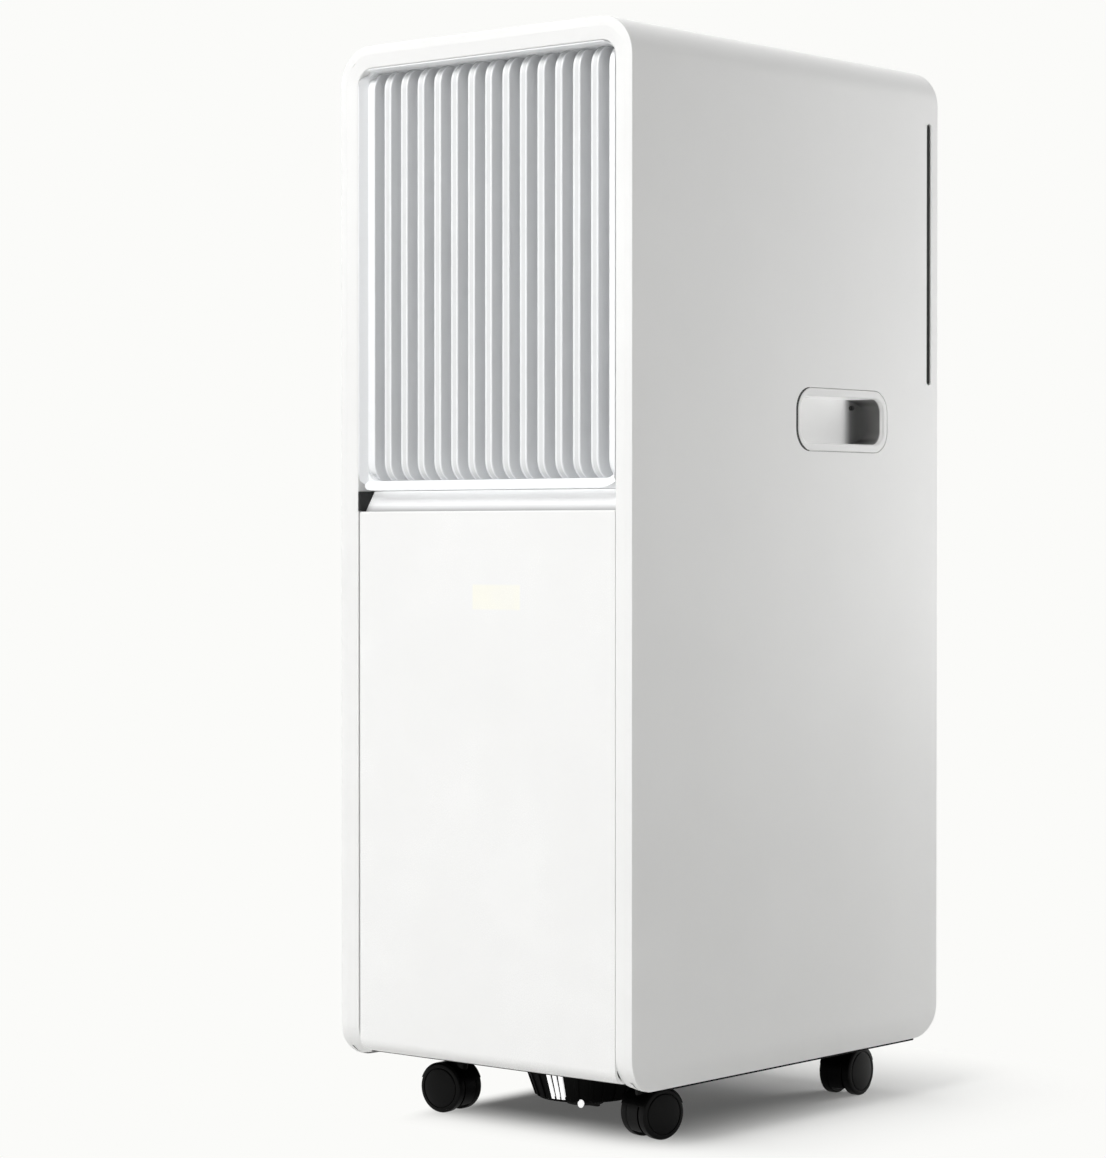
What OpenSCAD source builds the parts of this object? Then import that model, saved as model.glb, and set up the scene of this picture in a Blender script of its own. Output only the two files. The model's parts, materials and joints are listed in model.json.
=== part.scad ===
// Portable air conditioner: a wraparound cabinet on four twin-wheel casters.
// The front faces -Y and the floor is Z = 0. The origin is on the floor, under the middle of the cabinet.

/* [Cabinet] */
// Width of the cabinet
body_w = 252; // [250:1:262]
// Depth of the cabinet
body_d = 342; // [342:1:352]
// Height from the skirt's lower edge to the top
body_h = 679; // [679:1:690]
// Height of the skirt's lower edge above the floor
ground_gap = 41; // [41:1:44]
// Radius of the two long top corners
top_r = 26; // [22:1:30]
// Radius of the skirt's front and rear corners
foot_r = 23; // [18:1:26]
// Wall thickness of the cabinet
wall = 3; // [2.5:0.5:3.5]
// Width of the cabinet's front edge
rim_w = 6; // [5:0.5:7]

/* [Front] */
// Width of the front frame's visible band
frame_band = 8.5; // [7:0.5:9]
// Height of the lower panel's top edge above the floor
panel_top = 409; // [400:1:412]
// Height of the finger recess above the lower panel
recess_h = 14; // [12:1:18]
// Width of the sloped border beside the fins
border = 3.7; // [3:0.1:5]
// Height of the sloped border under the fins
border_low = 6.5; // [5:0.5:8]
// Thickness of the border above the fins
border_top = 1.6; // [1.4:0.2:3]
// Depth of the sloped border
border_d = 6; // [5:1:10]
// Number of fixed upright fins in the outlet
fin_count = 15; // [11:1:17]
// Thickness of a fin
fin_t = 6.2; // [4:0.2:6.4]
// Radius of a fin's front corners
fin_r = 14; // [8:1:20]
// Number of swinging vanes behind the fins
vane_count = 4; // [4:1:4]

/* [Side] */
// Length of the handle's ring
handle_w = 105.6; // [100:0.2:106]
// Height of the handle's ring
handle_h = 42; // [38:0.5:43]
// Depth of the finger pocket
handle_depth = 24; // [22:1:30]
// Corner radius of the handle's ring
handle_r = 15; // [10:1:18]
// Height of the handle's middle above the floor
handle_z = 470.8; // [470:0.2:473]
// Height of the filter slot's lower end
slot_low = 498.4; // [498:0.2:500]
// Length of the filter slot
slot_l = 182.6; // [180:0.2:184]
// Width of the filter slot
slot_w = 5; // [5:0.2:6]

/* [Top] */
// Length of the control panel
control_w = 140; // [136:1:150]
// Depth of the control panel
control_d = 44; // [40:1:48]
// Radius of a push button
button_r = 8.7; // [6:0.1:9]
// Spacing of the push buttons
button_pitch = 25; // [22:1:26]

/* [Rear] */
// Inner radius of the exhaust collar
exhaust_r = 62; // [58:1:62]
// Height of the exhaust collar's middle
exhaust_z = 395; // [394:1:396]

/* [Casters] */
// Radius of a caster wheel
wheel_r = 16.8; // [16:0.2:17]
// Width of one wheel
wheel_w = 8; // [6:0.5:9]
// Distance of the axle from the swivel axis
trail = 8; // [6:1:9]
// Swivel axis, sideways from the middle
caster_x = 79.5; // [78:0.5:81]
// Swivel axis of the front casters, from the middle
caster_front = -102.5; // [-105:0.5:-100]
// Swivel axis of the rear casters, from the middle
caster_rear = 120; // [118:0.5:120.5]

/* [Hidden] */
$fn = 64;
eps = 0.01;
fit = 0.05;           // radial clearance of a running fit
gap = 0.4;            // gap between two casing parts
hw = body_w / 2;
hd = body_d / 2;
z0 = ground_gap;
z1 = ground_gap + body_h;
front = -hd;
rear = hd;

// Front openings
frame_out = hw - rim_w - gap;
frame_in = frame_out - frame_band + gap;
frame_top = z1 - rim_w - gap;
open_top = frame_top - frame_band + 0.2;
grille_w = 2 * (frame_in - gap);
grille_low = panel_top + recess_h;
grille_high = open_top - gap;
grille_back = front + 35;
inner_w = grille_w - 2 * border;
inner_low = grille_low + border_low;
inner_high = grille_high - border_top;
fin_front = front + 7;
fin_inset = fin_t / 2 - 0.2;
fin_pitch = (inner_w - 2 * fin_inset) / (fin_count - 1);
panel_w = 2 * (frame_in - 1.4);
panel_low = z0 + 5.2;
panel_t = 2.6;
scoop_low_y = front + 6.2;
scoop_high_y = front + 15;

// Air path of the cold side
duct_front = grille_back + 2;
duct_mid = front + 163;
duct_rear = front + 271;
duct_w = 212;
air_high = grille_high - 7.5;
duct_low = inner_low + 6;
duct_high = air_high + 4;
blower_box_w = 172;
blower_low = 482;
blower_z = 588;
blower_r = 64;
blower_front = 40;
blower_back = 92;
vane_y = front + 61;
vane_chord = 40;
vane_pin_r = 2;
vane_x = duct_w / 2 - 5;
crank = 14;
crank_r = 1.4;
link_x = duct_w / 2 - 9;
link_t = 3;
vane_pitch = (air_high - inner_low) / vane_count;
function vane_z(i) = inner_low + (i + 0.5) * vane_pitch;

// Air path of the hot side
fan_z = 190;
fan_r = 56;
scroll_r = 70;
scroll_front = 48;
scroll_back = 112;
hot_box_w = 140;
hot_box_low = exhaust_z - 71;
hot_box_high = exhaust_z + 71;
sheet = 2;

// Chassis
base_low = z0 + 3;
base_t = 3;
base_floor = base_low + base_t;
base_w = body_w - 2 * wall - 7;
base_front = front + 17;
base_rear = rear - 11;
base_wall = 74;
rear_y = rear - 7.5;
rear_t = 3;
sump_y = -65;
sump_r = 41.6;
sump_foot_r = 33;
sump_low = 15;
sump_top = base_low - 0.2;
sump_slots = [-75, -82, -89];
drain_x = -70;
drain_z = base_floor + 15;
rear_screws = [for (x = [-114, 114], z = [z0 + 26, 330, z1 - 22]) [x, z]];
gland_x = 84;
gland_z = base_floor + 35;
compressor_at = [-48, -72];
compressor_r = 50;
foot_circle = 60;
foot_angle = [30, 150, 270];
window_w = 200;

// Handles and filter
handle_y = 56;
handle_rim = 5.4;
handle_gap = 1.9;     // the ring stops this far short of the front end of its cut-out
slot_y = rear - 11;
slot_high = slot_low + slot_l;
filter_t = 4;

// Top control panel
control_y = front + 79;
control_top = z1 - 0.8;
button_travel = 1.2;
board_z = control_top - 15.6;
stem_low = board_z + 4.8 + button_travel;
button_x = [for (i = [-2:2]) i * button_pitch];

// Casters: name order is front left, front right, rear left, rear right
caster_at = [[-caster_x, caster_front], [caster_x, caster_front],
             [-caster_x, caster_rear], [caster_x, caster_rear]];
caster_yaw = [-86, 167.2, 150, 183.7];
web_half = 5.5;
stem_r = 3.2;
axle_r = 2;
hood_r = wheel_r + 1.8;
hood_in_r = wheel_r + 0.6;
hood_half = web_half + wheel_w - 1.6;
neck_top = z0 - 2.8;

// Colours
shell_white = [0.95, 0.95, 0.94];
panel_white = [0.97, 0.97, 0.97];
grille_white = [0.9, 0.91, 0.92];
trim_black = [0.05, 0.05, 0.055];
inner_grey = [0.55, 0.56, 0.58];

// A flat drawn in X and Z, made solid from y_from to y_to
module along_y(y_from, y_to) {
    translate([0, y_to, 0])
        rotate([90, 0, 0])
            linear_extrude(y_to - y_from)
                children();
}

// A flat drawn in Y and Z, made solid from x_from to x_to
module along_x(x_from, x_to) {
    translate([x_from, 0, 0])
        rotate([90, 0, 90])
            linear_extrude(x_to - x_from)
                children();
}

// A round bar along Y
module bar_y(x, z, r, y_from, y_to) {
    translate([x, y_to, z])
        rotate([90, 0, 0])
            cylinder(r = r, h = y_to - y_from);
}

// A round bar along X
module bar_x(y, z, r, x_from, x_to) {
    translate([x_from, y, z])
        rotate([0, 90, 0])
            cylinder(r = r, h = x_to - x_from);
}

// Rectangle from low to high with four round corners
module round_flat(low, high, r) {
    translate([low[0] + r, low[1]])
        square([high[0] - low[0] - 2 * r, high[1] - low[1]]);
    translate([low[0], low[1] + r])
        square([high[0] - low[0], high[1] - low[1] - 2 * r]);
    for (x = [low[0] + r, high[0] - r], y = [low[1] + r, high[1] - r])
        translate([x, y])
            circle(r = r);
}

// Rectangle with only its upper corners rounded
module arch_flat(w, low, high, r) {
    translate([-w / 2, low])
        square([w, high - low - r]);
    translate([-w / 2 + r, low])
        square([w - 2 * r, high - low]);
    for (x = [-w / 2 + r, w / 2 - r])
        translate([x, high - r])
            circle(r = r);
}

// Side outline with only its lower corners rounded
module skirt_flat(inset) {
    r = foot_r - inset;
    translate([front + inset, z0 + inset + r])
        square([body_d - 2 * inset, body_h]);
    translate([front + inset + r, z0 + inset])
        square([body_d - 2 * inset - 2 * r, body_h]);
    for (y = [front + inset + r, rear - inset - r])
        translate([y, z0 + inset + r])
            circle(r = r);
}

// A block from its low corner to its high corner
module block(low, high) {
    translate(low)
        cube(high - low);
}

// Pipe through a list of points, round at every bend
module pipe_run(points, r) {
    for (i = [0:len(points) - 2]) {
        step = points[i + 1] - points[i];
        long = norm(step);
        translate(points[i])
            rotate([0, acos(step[2] / long), atan2(step[1], step[0])])
                cylinder(r = r, h = long);
    }
    for (i = [1:len(points) - 2])
        translate(points[i])
            sphere(r = r + 0.5);
}

module outer_sleeve() color(shell_white) difference() {
    intersection() {
        along_y(front, rear)
            arch_flat(body_w, z0, z1, top_r);
        along_x(-hw - 1, hw + 1)
            skirt_flat(0);
    }
    along_y(front + rim_w, rear + 1)
        arch_flat(body_w - 2 * wall, z0 - 1, z1 - wall, top_r - wall);
    along_y(front - 1, rear)
        arch_flat(body_w - 2 * rim_w, z0 - 1, z1 - rim_w, top_r - rim_w);
    along_x(-hw - 1, hw + 1)
        handle_flat(-gap);
    along_x(0, hw + 1)
        slot_flat(slot_w, slot_low, slot_high);
    translate([0, control_y, z1 - wall - 1])
        linear_extrude(wall + 2)
            control_flat(0);
}

module handle_flat(inset) {
    round_flat([handle_y - handle_w / 2 + inset, handle_z - handle_h / 2 + inset],
               [handle_y + handle_w / 2 - inset, handle_z + handle_h / 2 - inset],
               handle_r - inset);
}

module slot_flat(w, low, high) {
    translate([slot_y - w / 2, low + w / 2])
        square([w, high - low - w]);
    for (z = [low + w / 2, high - w / 2])
        translate([slot_y, z])
            circle(r = w / 2);
}

module control_flat(grow) {
    round_flat([-control_w / 2 - grow, -control_d / 2 - grow],
               [control_w / 2 + grow, control_d / 2 + grow], 12 + grow);
}

module front_frame() color(shell_white) difference() {
    intersection() {
        along_y(front + 0.6, front + 15)
            arch_flat(2 * frame_out, z0, frame_top, top_r - rim_w - gap);
        along_x(-hw, hw)
            skirt_flat(0.6);
    }
    along_y(front - 1, front + 16)
        arch_flat(2 * frame_in, z0 - 1, open_top, 12);
}

module outlet_grille() color(grille_white) {
    difference() {
        along_y(front + 1.2, grille_back)
            round_flat([-grille_w / 2, grille_low], [grille_w / 2, grille_high], 11.6);
        along_y(front, grille_back + 1)
            round_flat([-inner_w / 2, inner_low], [inner_w / 2, inner_high], 8);
        border_cut();
    }
    for (i = [0:fin_count - 1])
        outlet_fin(-inner_w / 2 + fin_inset + i * fin_pitch);
    for (z = [inner_low + 85, inner_high - 85])
        block([-inner_w / 2 - 1, grille_back - 4, z - 1.5], [inner_w / 2 + 1, grille_back, z + 1.5]);
}

// The sloped border: four wedges that narrow towards the fins
module border_cut() {
    edge = 0.8;
    low_in = grille_low + edge;
    high_in = grille_high - edge;
    side_in = grille_w / 2 - edge;
    y_open = front + 1.2 - eps;
    y_deep = front + 1.2 + border_d;
    intersection() {
        wedge_x(side_in, y_open, y_deep, low_in - 1, high_in + 1);
        wedge_z(low_in, high_in, y_open, y_deep, side_in + 1);
    }
}

module wedge_x(side, y_open, y_deep, low, high) {
    translate([0, 0, low])
        linear_extrude(high - low)
            polygon([[-side, y_open], [side, y_open], [inner_w / 2, y_deep], [-inner_w / 2, y_deep]]);
}

module wedge_z(low, high, y_open, y_deep, side)
    along_x(-side, side)
        polygon([[y_open, low], [y_deep, inner_low], [y_deep, inner_high], [y_open, high]]);

module outlet_fin(x) {
    low = inner_low - 1.5;
    high = inner_high + 1;
    along_x(x - fin_t / 2, x + fin_t / 2) {
        translate([fin_front + fin_r, low])
            square([grille_back - 2 - fin_front - fin_r, high - low]);
        translate([fin_front, low + fin_r])
            square([fin_r + 1, high - low - 2 * fin_r]);
        for (z = [low + fin_r, high - fin_r])
            translate([fin_front + fin_r, z])
                circle(r = fin_r);
    }
}

module front_panel() color(panel_white) {
    face = front + 1;
    roll = 9;
    flange_w = panel_w - 6;
    along_x(-panel_w / 2, panel_w / 2) {
        translate([face, panel_low + roll])
            square([panel_t, panel_top - panel_low - roll]);
        translate([face + roll, panel_low])
            square([5, panel_t]);
        translate([face + roll, panel_low + roll])
            intersection() {
                difference() {
                    circle(r = roll);
                    circle(r = roll - panel_t);
                }
                translate([-roll - 1, -roll - 1])
                    square([roll + 1 + eps, roll + 1 + eps]);
            }
    }
    block([-flange_w / 2, face, panel_top - panel_t], [flange_w / 2, scoop_low_y - 0.4, panel_top]);
    for (x = [-70, 70], z = [panel_low + 50, panel_top - 40])
        block([x - 8, face + panel_t - eps, z - 2], [x + 8, face + 10, z + 2]);
}

module grip_scoop() color(grille_white) {
    t = 2.4;
    top_z = grille_low - 0.3;
    foot_z = panel_top - 16;
    ear_y = front + 15.1;
    along_x(-frame_in + 2.2, frame_in - 2.2)
        polygon([[scoop_low_y, foot_z], [ear_y + t, foot_z], [ear_y + t, foot_z + t],
                 [scoop_low_y + t, foot_z + t], [scoop_low_y + t, panel_top],
                 [scoop_high_y + t, top_z], [scoop_high_y, top_z], [scoop_low_y, panel_top]]);
    for (side = [-1, 1])
        block([side > 0 ? frame_in - 3 : -frame_out, ear_y, foot_z],
              [side > 0 ? frame_out : -frame_in + 3, ear_y + t, panel_top - 3]);
}

module side_seals() color(trim_black)
    for (x = [frame_in - 1.8, -frame_in + 0.3]) {
        block([x, front + 4, panel_low + 26], [x + 1.5, front + 15, grille_low - 0.5]);
        block([x, front + 1, panel_top + 0.4], [x + 1.5, front + 5, grille_low - 0.5]);
    }

module display_window() color([0.9, 0.8, 0.5])
    along_y(front + 5, front + 8.6)
        round_flat([-12, panel_top - 68], [36, panel_top - 43], 3);

module display_board() color([0.1, 0.3, 0.15]) {
    block([-45, front + 10, panel_top - 80], [45, front + 11.6, panel_top - 31]);
    for (x = [-6, 2, 10, 18, 26])
        block([x, front + 8.8, panel_top - 61], [x + 5, front + 10, panel_top - 50]);
}

module control_panel() color(trim_black) difference() {
    union() {
        translate([0, control_y, z1 - wall - 0.3])
            linear_extrude(control_top - z1 + wall + 0.3)
                control_flat(-gap);
        translate([0, control_y, control_top - 5.4])
            linear_extrude(z1 - wall - 0.3 - control_top + 5.4)
                control_flat(5);
        for (x = [-62, 62], y = [-14, 14])
            translate([x, control_y + y, board_z + 1.6])
                cylinder(r = 3, h = control_top - 5.4 - board_z - 1.6 + eps);
    }
    for (x = button_x)
        translate([x, control_y, control_top - 6])
            cylinder(r = button_r + 0.35, h = 8);
}

module push_button(i) color([0.85, 0.86, 0.87])
    translate([button_x[i], control_y, 0]) {
        translate([0, 0, control_top - 5.7])
            cylinder(r = button_r, h = z1 - control_top + 5.7);
        translate([0, 0, control_top - 7.8])
            cylinder(r = button_r + 1.6, h = 2.1);
        translate([0, 0, stem_low])
            cylinder(r = 2, h = control_top - 7.8 - stem_low + eps);
    }

module power_button() push_button(0);
module mode_button() push_button(1);
module fan_button() push_button(2);
module up_button() push_button(3);
module down_button() push_button(4);

module control_board() color([0.1, 0.3, 0.15])
    translate([0, control_y, board_z]) {
        translate([-control_w / 2, -control_d / 2, 0])
            cube([control_w, control_d, 1.6]);
        for (x = button_x)
            translate([x - 3, -3, 1.6])
                cube([6, 6, 2.8]);
    }

module rear_panel() color(shell_white) {
    difference() {
        along_y(rear_y, rear_y + rear_t)
            arch_flat(body_w - 2 * wall - 2 * gap, z0 + 11, z1 - wall - gap, top_r - wall - gap);
        along_y(rear_y - 1, rear_y + rear_t + 1) {
            round_flat([-window_w / 2, slot_low + 2], [window_w / 2, slot_high - 2], 10);
            round_flat([-window_w / 2, base_floor + 52], [window_w / 2, exhaust_z - 92], 10);
        }
        bar_y(0, exhaust_z, exhaust_r + 5, rear_y - 1, rear_y + rear_t + 1);
        bar_y(drain_x, drain_z, 9, rear_y - 1, rear_y + rear_t + 1);
        bar_y(gland_x, gland_z, 7 + fit, rear_y - 1, rear_y + rear_t + 1);
        for (p = rear_screws)
            bar_y(p[0], p[1], 2, rear_y - 1, rear_y + rear_t + 1);
    }
    for (z = [slot_low - 3.4, slot_high + 0.4])
        block([-hw + 8, slot_y - filter_t / 2 - 1.6, z], [hw - 8, rear_y + eps, z + 3]);
}

module intake_grille(low, high, pitch) color(shell_white) {
    w = window_w / 2 - gap;
    y_out = rear_y + rear_t;
    difference() {
        along_y(rear_y + 0.3, y_out)
            round_flat([-w, low], [w, high], 9.6);
        along_y(rear_y, y_out + 1)
            round_flat([-w + 4, low + 4], [w - 4, high - 4], 6);
    }
    for (z = [low + 4 + pitch / 2:pitch:high - 5])
        block([-w + 1, rear_y + 0.6, z - 1.3], [w - 1, y_out - 0.3, z + 1.3]);
    for (x = [-w / 2, 0, w / 2])
        block([x - 1.5, rear_y + 0.9, low + 1], [x + 1.5, y_out - 0.9, high - 1]);
}

module upper_intake_grille() intake_grille(slot_low + 2.4, slot_high - 2.4, 8);
module lower_intake_grille() intake_grille(base_floor + 52.4, exhaust_z - 92.4, 8);

module exhaust_collar() color(inner_grey)
    translate([0, 0, exhaust_z])
        rotate([-90, 0, 0])
            rotate_extrude($fn = 96)
                polygon([[exhaust_r, rear_y - 2], [exhaust_r + 4.6, rear_y - 2],
                         [exhaust_r + 4.6, rear_y + rear_t + 0.2],
                         [exhaust_r + 13, rear_y + rear_t + 0.2],
                         [exhaust_r + 13, rear_y + rear_t + 2.4],
                         [exhaust_r + 2.5, rear], [exhaust_r, rear]]);

module filter_frame() color(trim_black) difference() {
    along_x(-hw + 14, hw - 0.7)
        slot_flat(filter_t, slot_low + 0.6, slot_high - 0.6);
    for (i = [0:2])
        along_x(-hw + 20 + i * 74, -hw + 88 + i * 74)
            translate([slot_y - filter_t, slot_low + 10])
                square([2 * filter_t, slot_l - 20]);
}

module filter_mesh() color([0.3, 0.32, 0.35])
    for (i = [0:2])
        block([-hw + 20 + i * 74, slot_y - 0.4, slot_low + 10],
              [-hw + 88 + i * 74, slot_y + 0.4, slot_high - 10]);

module handle_cup_right() color(shell_white) {
    back = hw - handle_depth;
    end_y = handle_y + handle_w / 2 - handle_rim;
    difference() {
        union() {
            along_x(hw - wall - 1, hw)
                ring_flat();
            handle_well(back - 2, hw - 1, 2, 14);
        }
        handle_well(back, hw + 1, handle_rim, 12);
        bar_x(end_y - 5.6, handle_z + 10.2, 1.85, back - 3, back + 9);
    }
}

// The ring's outline, shorter than its cut-out at the front end
module ring_flat()
    intersection() {
        handle_flat(0);
        translate([handle_gap, 0])
            handle_flat(0);
    }

// The pocket's form, with round deep ends
module handle_well(back, mouth, inset, deep_r)
    intersection() {
        along_x(back - 1, mouth)
            handle_flat(inset);
        translate([0, 0, handle_z - handle_h])
            linear_extrude(2 * handle_h)
                round_flat([back, handle_y - handle_w / 2 + inset],
                           [hw + 20, handle_y + handle_w / 2 - inset], deep_r);
    }

module handle_cup_left() mirror([1, 0, 0]) handle_cup_right();

module base_pan() color(trim_black) difference() {
    union() {
        difference() {
            block([-base_w / 2, base_front, base_low], [base_w / 2, base_rear, base_wall]);
            block([-base_w / 2 + 2.5, base_front + 2.5, base_floor],
                  [base_w / 2 - 2.5, base_rear - 2.5, base_wall + 1]);
        }
        for (side = [-1, 1])
            block([side * (base_w / 2 - 3) - 3, base_front + 30, z0 - 1.4],
                  [side * (base_w / 2 - 3) + 3, base_rear - 8, base_low + 1]);
        for (p = caster_at)
            translate([p[0], p[1], neck_top + 0.3]) {
                cylinder(r = 11, h = base_low - neck_top + 1);
                cylinder(r = 5.4, h = base_low + 14 - neck_top);
            }
        bar_y(drain_x, drain_z, 8, base_rear - 2, rear - 3.5);
    }
    for (p = caster_at)
        translate([p[0], p[1], neck_top - 1])
            cylinder(r = stem_r + fit, h = 40);
    translate([0, sump_y, base_low - 1])
        cylinder(r = 12, h = base_t + 2);
    bar_y(drain_x, drain_z, 6, base_rear - 4, rear);
}

module drain_sump() color(trim_black)
    translate([0, sump_y, 0])
        difference() {
            union() {
                difference() {
                    union() {
                        rotate_extrude()
                            polygon([[0, sump_low], [sump_foot_r - 1.5, sump_low],
                                     [sump_foot_r, sump_low + 1.5], [sump_r, sump_top - 3],
                                     [sump_r, sump_top], [0, sump_top]]);
                        for (i = [0:21])
                            rotate([0, 0, -104 - i * 15])
                                sump_rib();
                    }
                    rotate_extrude()
                        polygon([[0, sump_low + 2], [sump_foot_r - 2.8, sump_low + 2],
                                 [sump_r - 2.6, sump_top - 3], [0, sump_top - 3]]);
                    for (a = sump_slots)
                        rotate([0, 0, a])
                            block([sump_foot_r - 4, -1.25, sump_low + 3.5],
                                  [sump_r + 3, 1.25, sump_top - 4]);
                }
                translate([0, 0, sump_low + 1])
                    cylinder(r = 12.5, h = 7);
                translate([0, 0, sump_top - 0.1])
                    cylinder(r = 11.9, h = base_t + 3.3);
            }
            translate([0, 0, sump_low - 1])
                cylinder(r = 9, h = 50);
            for (side = [0, 180])
                rotate([0, 0, side])
                    block([8.8, -2, sump_low - 1], [11, 2, sump_low + 3]);
        }

// One low upright rib on the sump's cone
module sump_rib()
    rotate([90, 0, 0])
        translate([0, 0, -1.1])
            linear_extrude(2.2)
                polygon([[sump_foot_r - 1, sump_low + 0.8], [sump_foot_r + 1.1, sump_low + 1.5],
                         [sump_r + 1.1, sump_top - 3], [sump_r - 1, sump_top - 3]]);

// The net basket inside the sump, with rows of round holes
module drain_strainer() color("white")
    translate([0, sump_y, sump_low + 2.1])
        difference() {
            cylinder(r = 29.4, h = 22);
            translate([0, 0, -1])
                cylinder(r = 28, h = 24);
            for (i = [0:11], z = [6, 16])
                rotate([0, 0, i * 30 + 5])
                    bar_y(0, z, 2, 26, 31);
        }

module drain_cap() color(trim_black)
    translate([0, sump_y, 0]) {
        translate([0, 0, sump_low - 5.1])
            cylinder(r = 12.5, h = 4.8);
        translate([0, 0, sump_low - 0.3 - eps])
            cylinder(r = 8.9, h = 7);
        block([-12, -1.5, sump_low - 6.5], [12, 1.5, sump_low - 5.1 + eps]);
    }

module rear_drain_plug() color(trim_black) {
    bar_y(drain_x, drain_z, 6 - fit, base_rear, rear - 3.3);
    bar_y(drain_x, drain_z, 10, rear - 3.4, rear - 0.4);
}

module casing_screws() color([0.6, 0.6, 0.62])
    for (p = rear_screws) {
        bar_y(p[0], p[1], 3.6, rear_y + rear_t, rear_y + rear_t + 1.8);
        bar_y(p[0], p[1], 1.9, rear_y - 1, rear_y + rear_t + eps);
    }

module cord_gland() color(trim_black)
    difference() {
        union() {
            bar_y(gland_x, gland_z, 7, rear_y - 6, rear_y + rear_t + 0.1);
            bar_y(gland_x, gland_z, 10.5, rear_y + rear_t + 0.05, rear_y + rear_t + 3.5);
        }
        bar_y(gland_x, gland_z, 4.5, rear_y - 8, rear + 1);
    }

module caster_stems() color("silver")
    for (p = caster_at)
        translate([p[0], p[1], 0]) {
            translate([0, 0, 24])
                cylinder(r = stem_r, h = base_low + 16.5 - 24);
            translate([0, 0, base_low + 14.4])
                cylinder(r = 5, h = 2.4);
        }

module at_caster(i)
    translate([caster_at[i][0], caster_at[i][1], 0])
        rotate([0, 0, caster_yaw[i]])
            children();

module caster_hood(i) color(trim_black) at_caster(i)
    difference() {
        union() {
            translate([0, -trail, wheel_r])
                intersection() {
                    rotate([0, 90, 0])
                        translate([0, 0, -web_half])
                            cylinder(r = hood_in_r + 0.3, h = 2 * web_half);
                    block([-20, -20, -12], [20, 20, 20]);
                }
            translate([0, -trail, wheel_r])
                difference() {
                    rotate([0, 90, 0])
                        translate([0, 0, -hood_half])
                            cylinder(r = hood_r, h = 2 * hood_half);
                    rotate([0, 90, 0])
                        translate([0, 0, -30])
                            cylinder(r = hood_in_r, h = 60);
                    block([-30, -30, -30], [30, 30, 6]);
                }
            translate([0, 0, wheel_r + hood_in_r - 5])
                cylinder(r = web_half, h = neck_top - wheel_r - hood_in_r + 5);
            translate([0, 0, wheel_r + hood_in_r + 1])
                cylinder(r = 9, h = neck_top - wheel_r - hood_in_r - 1);
        }
        cylinder(r = stem_r + fit, h = 60);
        bar_x(-trail, wheel_r, axle_r + fit, -20, 20);
    }

module caster_wheels(i) color(trim_black) at_caster(i)
    translate([0, -trail, wheel_r])
        rotate([0, 90, 0]) {
            translate([0, 0, -web_half - wheel_w + 1])
                cylinder(r = axle_r, h = 2 * (web_half + wheel_w - 1));
            wheel_disc();
            mirror([0, 0, 1])
                wheel_disc();
        }

// One wheel: tread, rim step and a shallow dome
module wheel_disc()
    translate([0, 0, web_half + 0.4])
        rotate_extrude($fn = 72)
            polygon([[0, 0], [wheel_r - 1, 0], [wheel_r, 1], [wheel_r, wheel_w - 2.2],
                     [wheel_r - 1, wheel_w - 1.2], [wheel_r - 3.4, wheel_w - 1.2],
                     [wheel_r - 3.8, wheel_w - 0.8], [6, wheel_w], [0, wheel_w]]);

module caster_hood_fl() caster_hood(0);
module caster_hood_fr() caster_hood(1);
module caster_hood_rl() caster_hood(2);
module caster_hood_rr() caster_hood(3);
module caster_wheels_fl() caster_wheels(0);
module caster_wheels_fr() caster_wheels(1);
module caster_wheels_rl() caster_wheels(2);
module caster_wheels_rr() caster_wheels(3);

module compressor() color([0.08, 0.08, 0.09])
    translate([compressor_at[0], compressor_at[1], 0])
        difference() {
            union() {
                translate([0, 0, 66])
                    rotate_extrude($fn = 72)
                        polygon([[0, 0], [compressor_r - 2, 0], [compressor_r, 2], [compressor_r, 150],
                                 [compressor_r - 3, 158], [compressor_r - 12, 163], [0, 165]]);
                for (a = foot_angle)
                    rotate([0, 0, a])
                        block([8, -10, 62], [foot_circle + 9, 10, 67]);
            }
            for (a = foot_angle)
                rotate([0, 0, a])
                    translate([foot_circle, 0, 60])
                        cylinder(r = 4.2, h = 9);
        }

module compressor_feet() color([0.15, 0.15, 0.16])
    translate([compressor_at[0], compressor_at[1], 0])
        for (a = foot_angle)
            rotate([0, 0, a])
                translate([foot_circle, 0, 0]) {
                    translate([0, 0, base_floor])
                        cylinder(r = 9, h = 61.8 - base_floor);
                    translate([0, 0, 61.7])
                        cylinder(r = 3.9, h = 7);
                    translate([0, 0, 67.3])
                        cylinder(r = 6.5, h = 2.5);
                }

module refrigerant_pipes() color([0.72, 0.42, 0.25]) {
    top = 230.5;
    left = -118;
    pipe_run([[-60, -72, top], [-60, -72, 262], [left, -72, 262], [left, 137, 262]], 3.5);
    pipe_run([[-36, -72, top], [-36, -72, 330], [-36, -5, 330], [left + 9, -5, 330],
              [left + 9, 120, 330], [left + 9, 120, 478]], 4);
    pipe_run([[left, 137, 240], [left, 118, 240], [left, 118, 520]], 2.4);
}

// A finned coil: core, end plates and the return bends of its tube
module finned_coil(y_from, y_to, low, high, rows) {
    half = window_w / 2;
    block([-half, y_from, low], [half, y_to, high]);
    for (side = [-1, 1])
        block([side * (half + 0.7) - 0.8, y_from - 1, low], [side * (half + 0.7) + 0.8, y_to + 1, high]);
    row_pitch = (high - low - 24) / rows;
    for (side = [-1, 1], i = [0:rows - 1])
        translate([side * (half + 1.4), (y_from + y_to) / 2, low + 12 + (i + 0.5) * row_pitch])
            rotate([90, 0, side > 0 ? -90 : 90])
                rotate([0, 90, 0])
                    return_bend(row_pitch / 3.2, 2.8);
}

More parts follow.
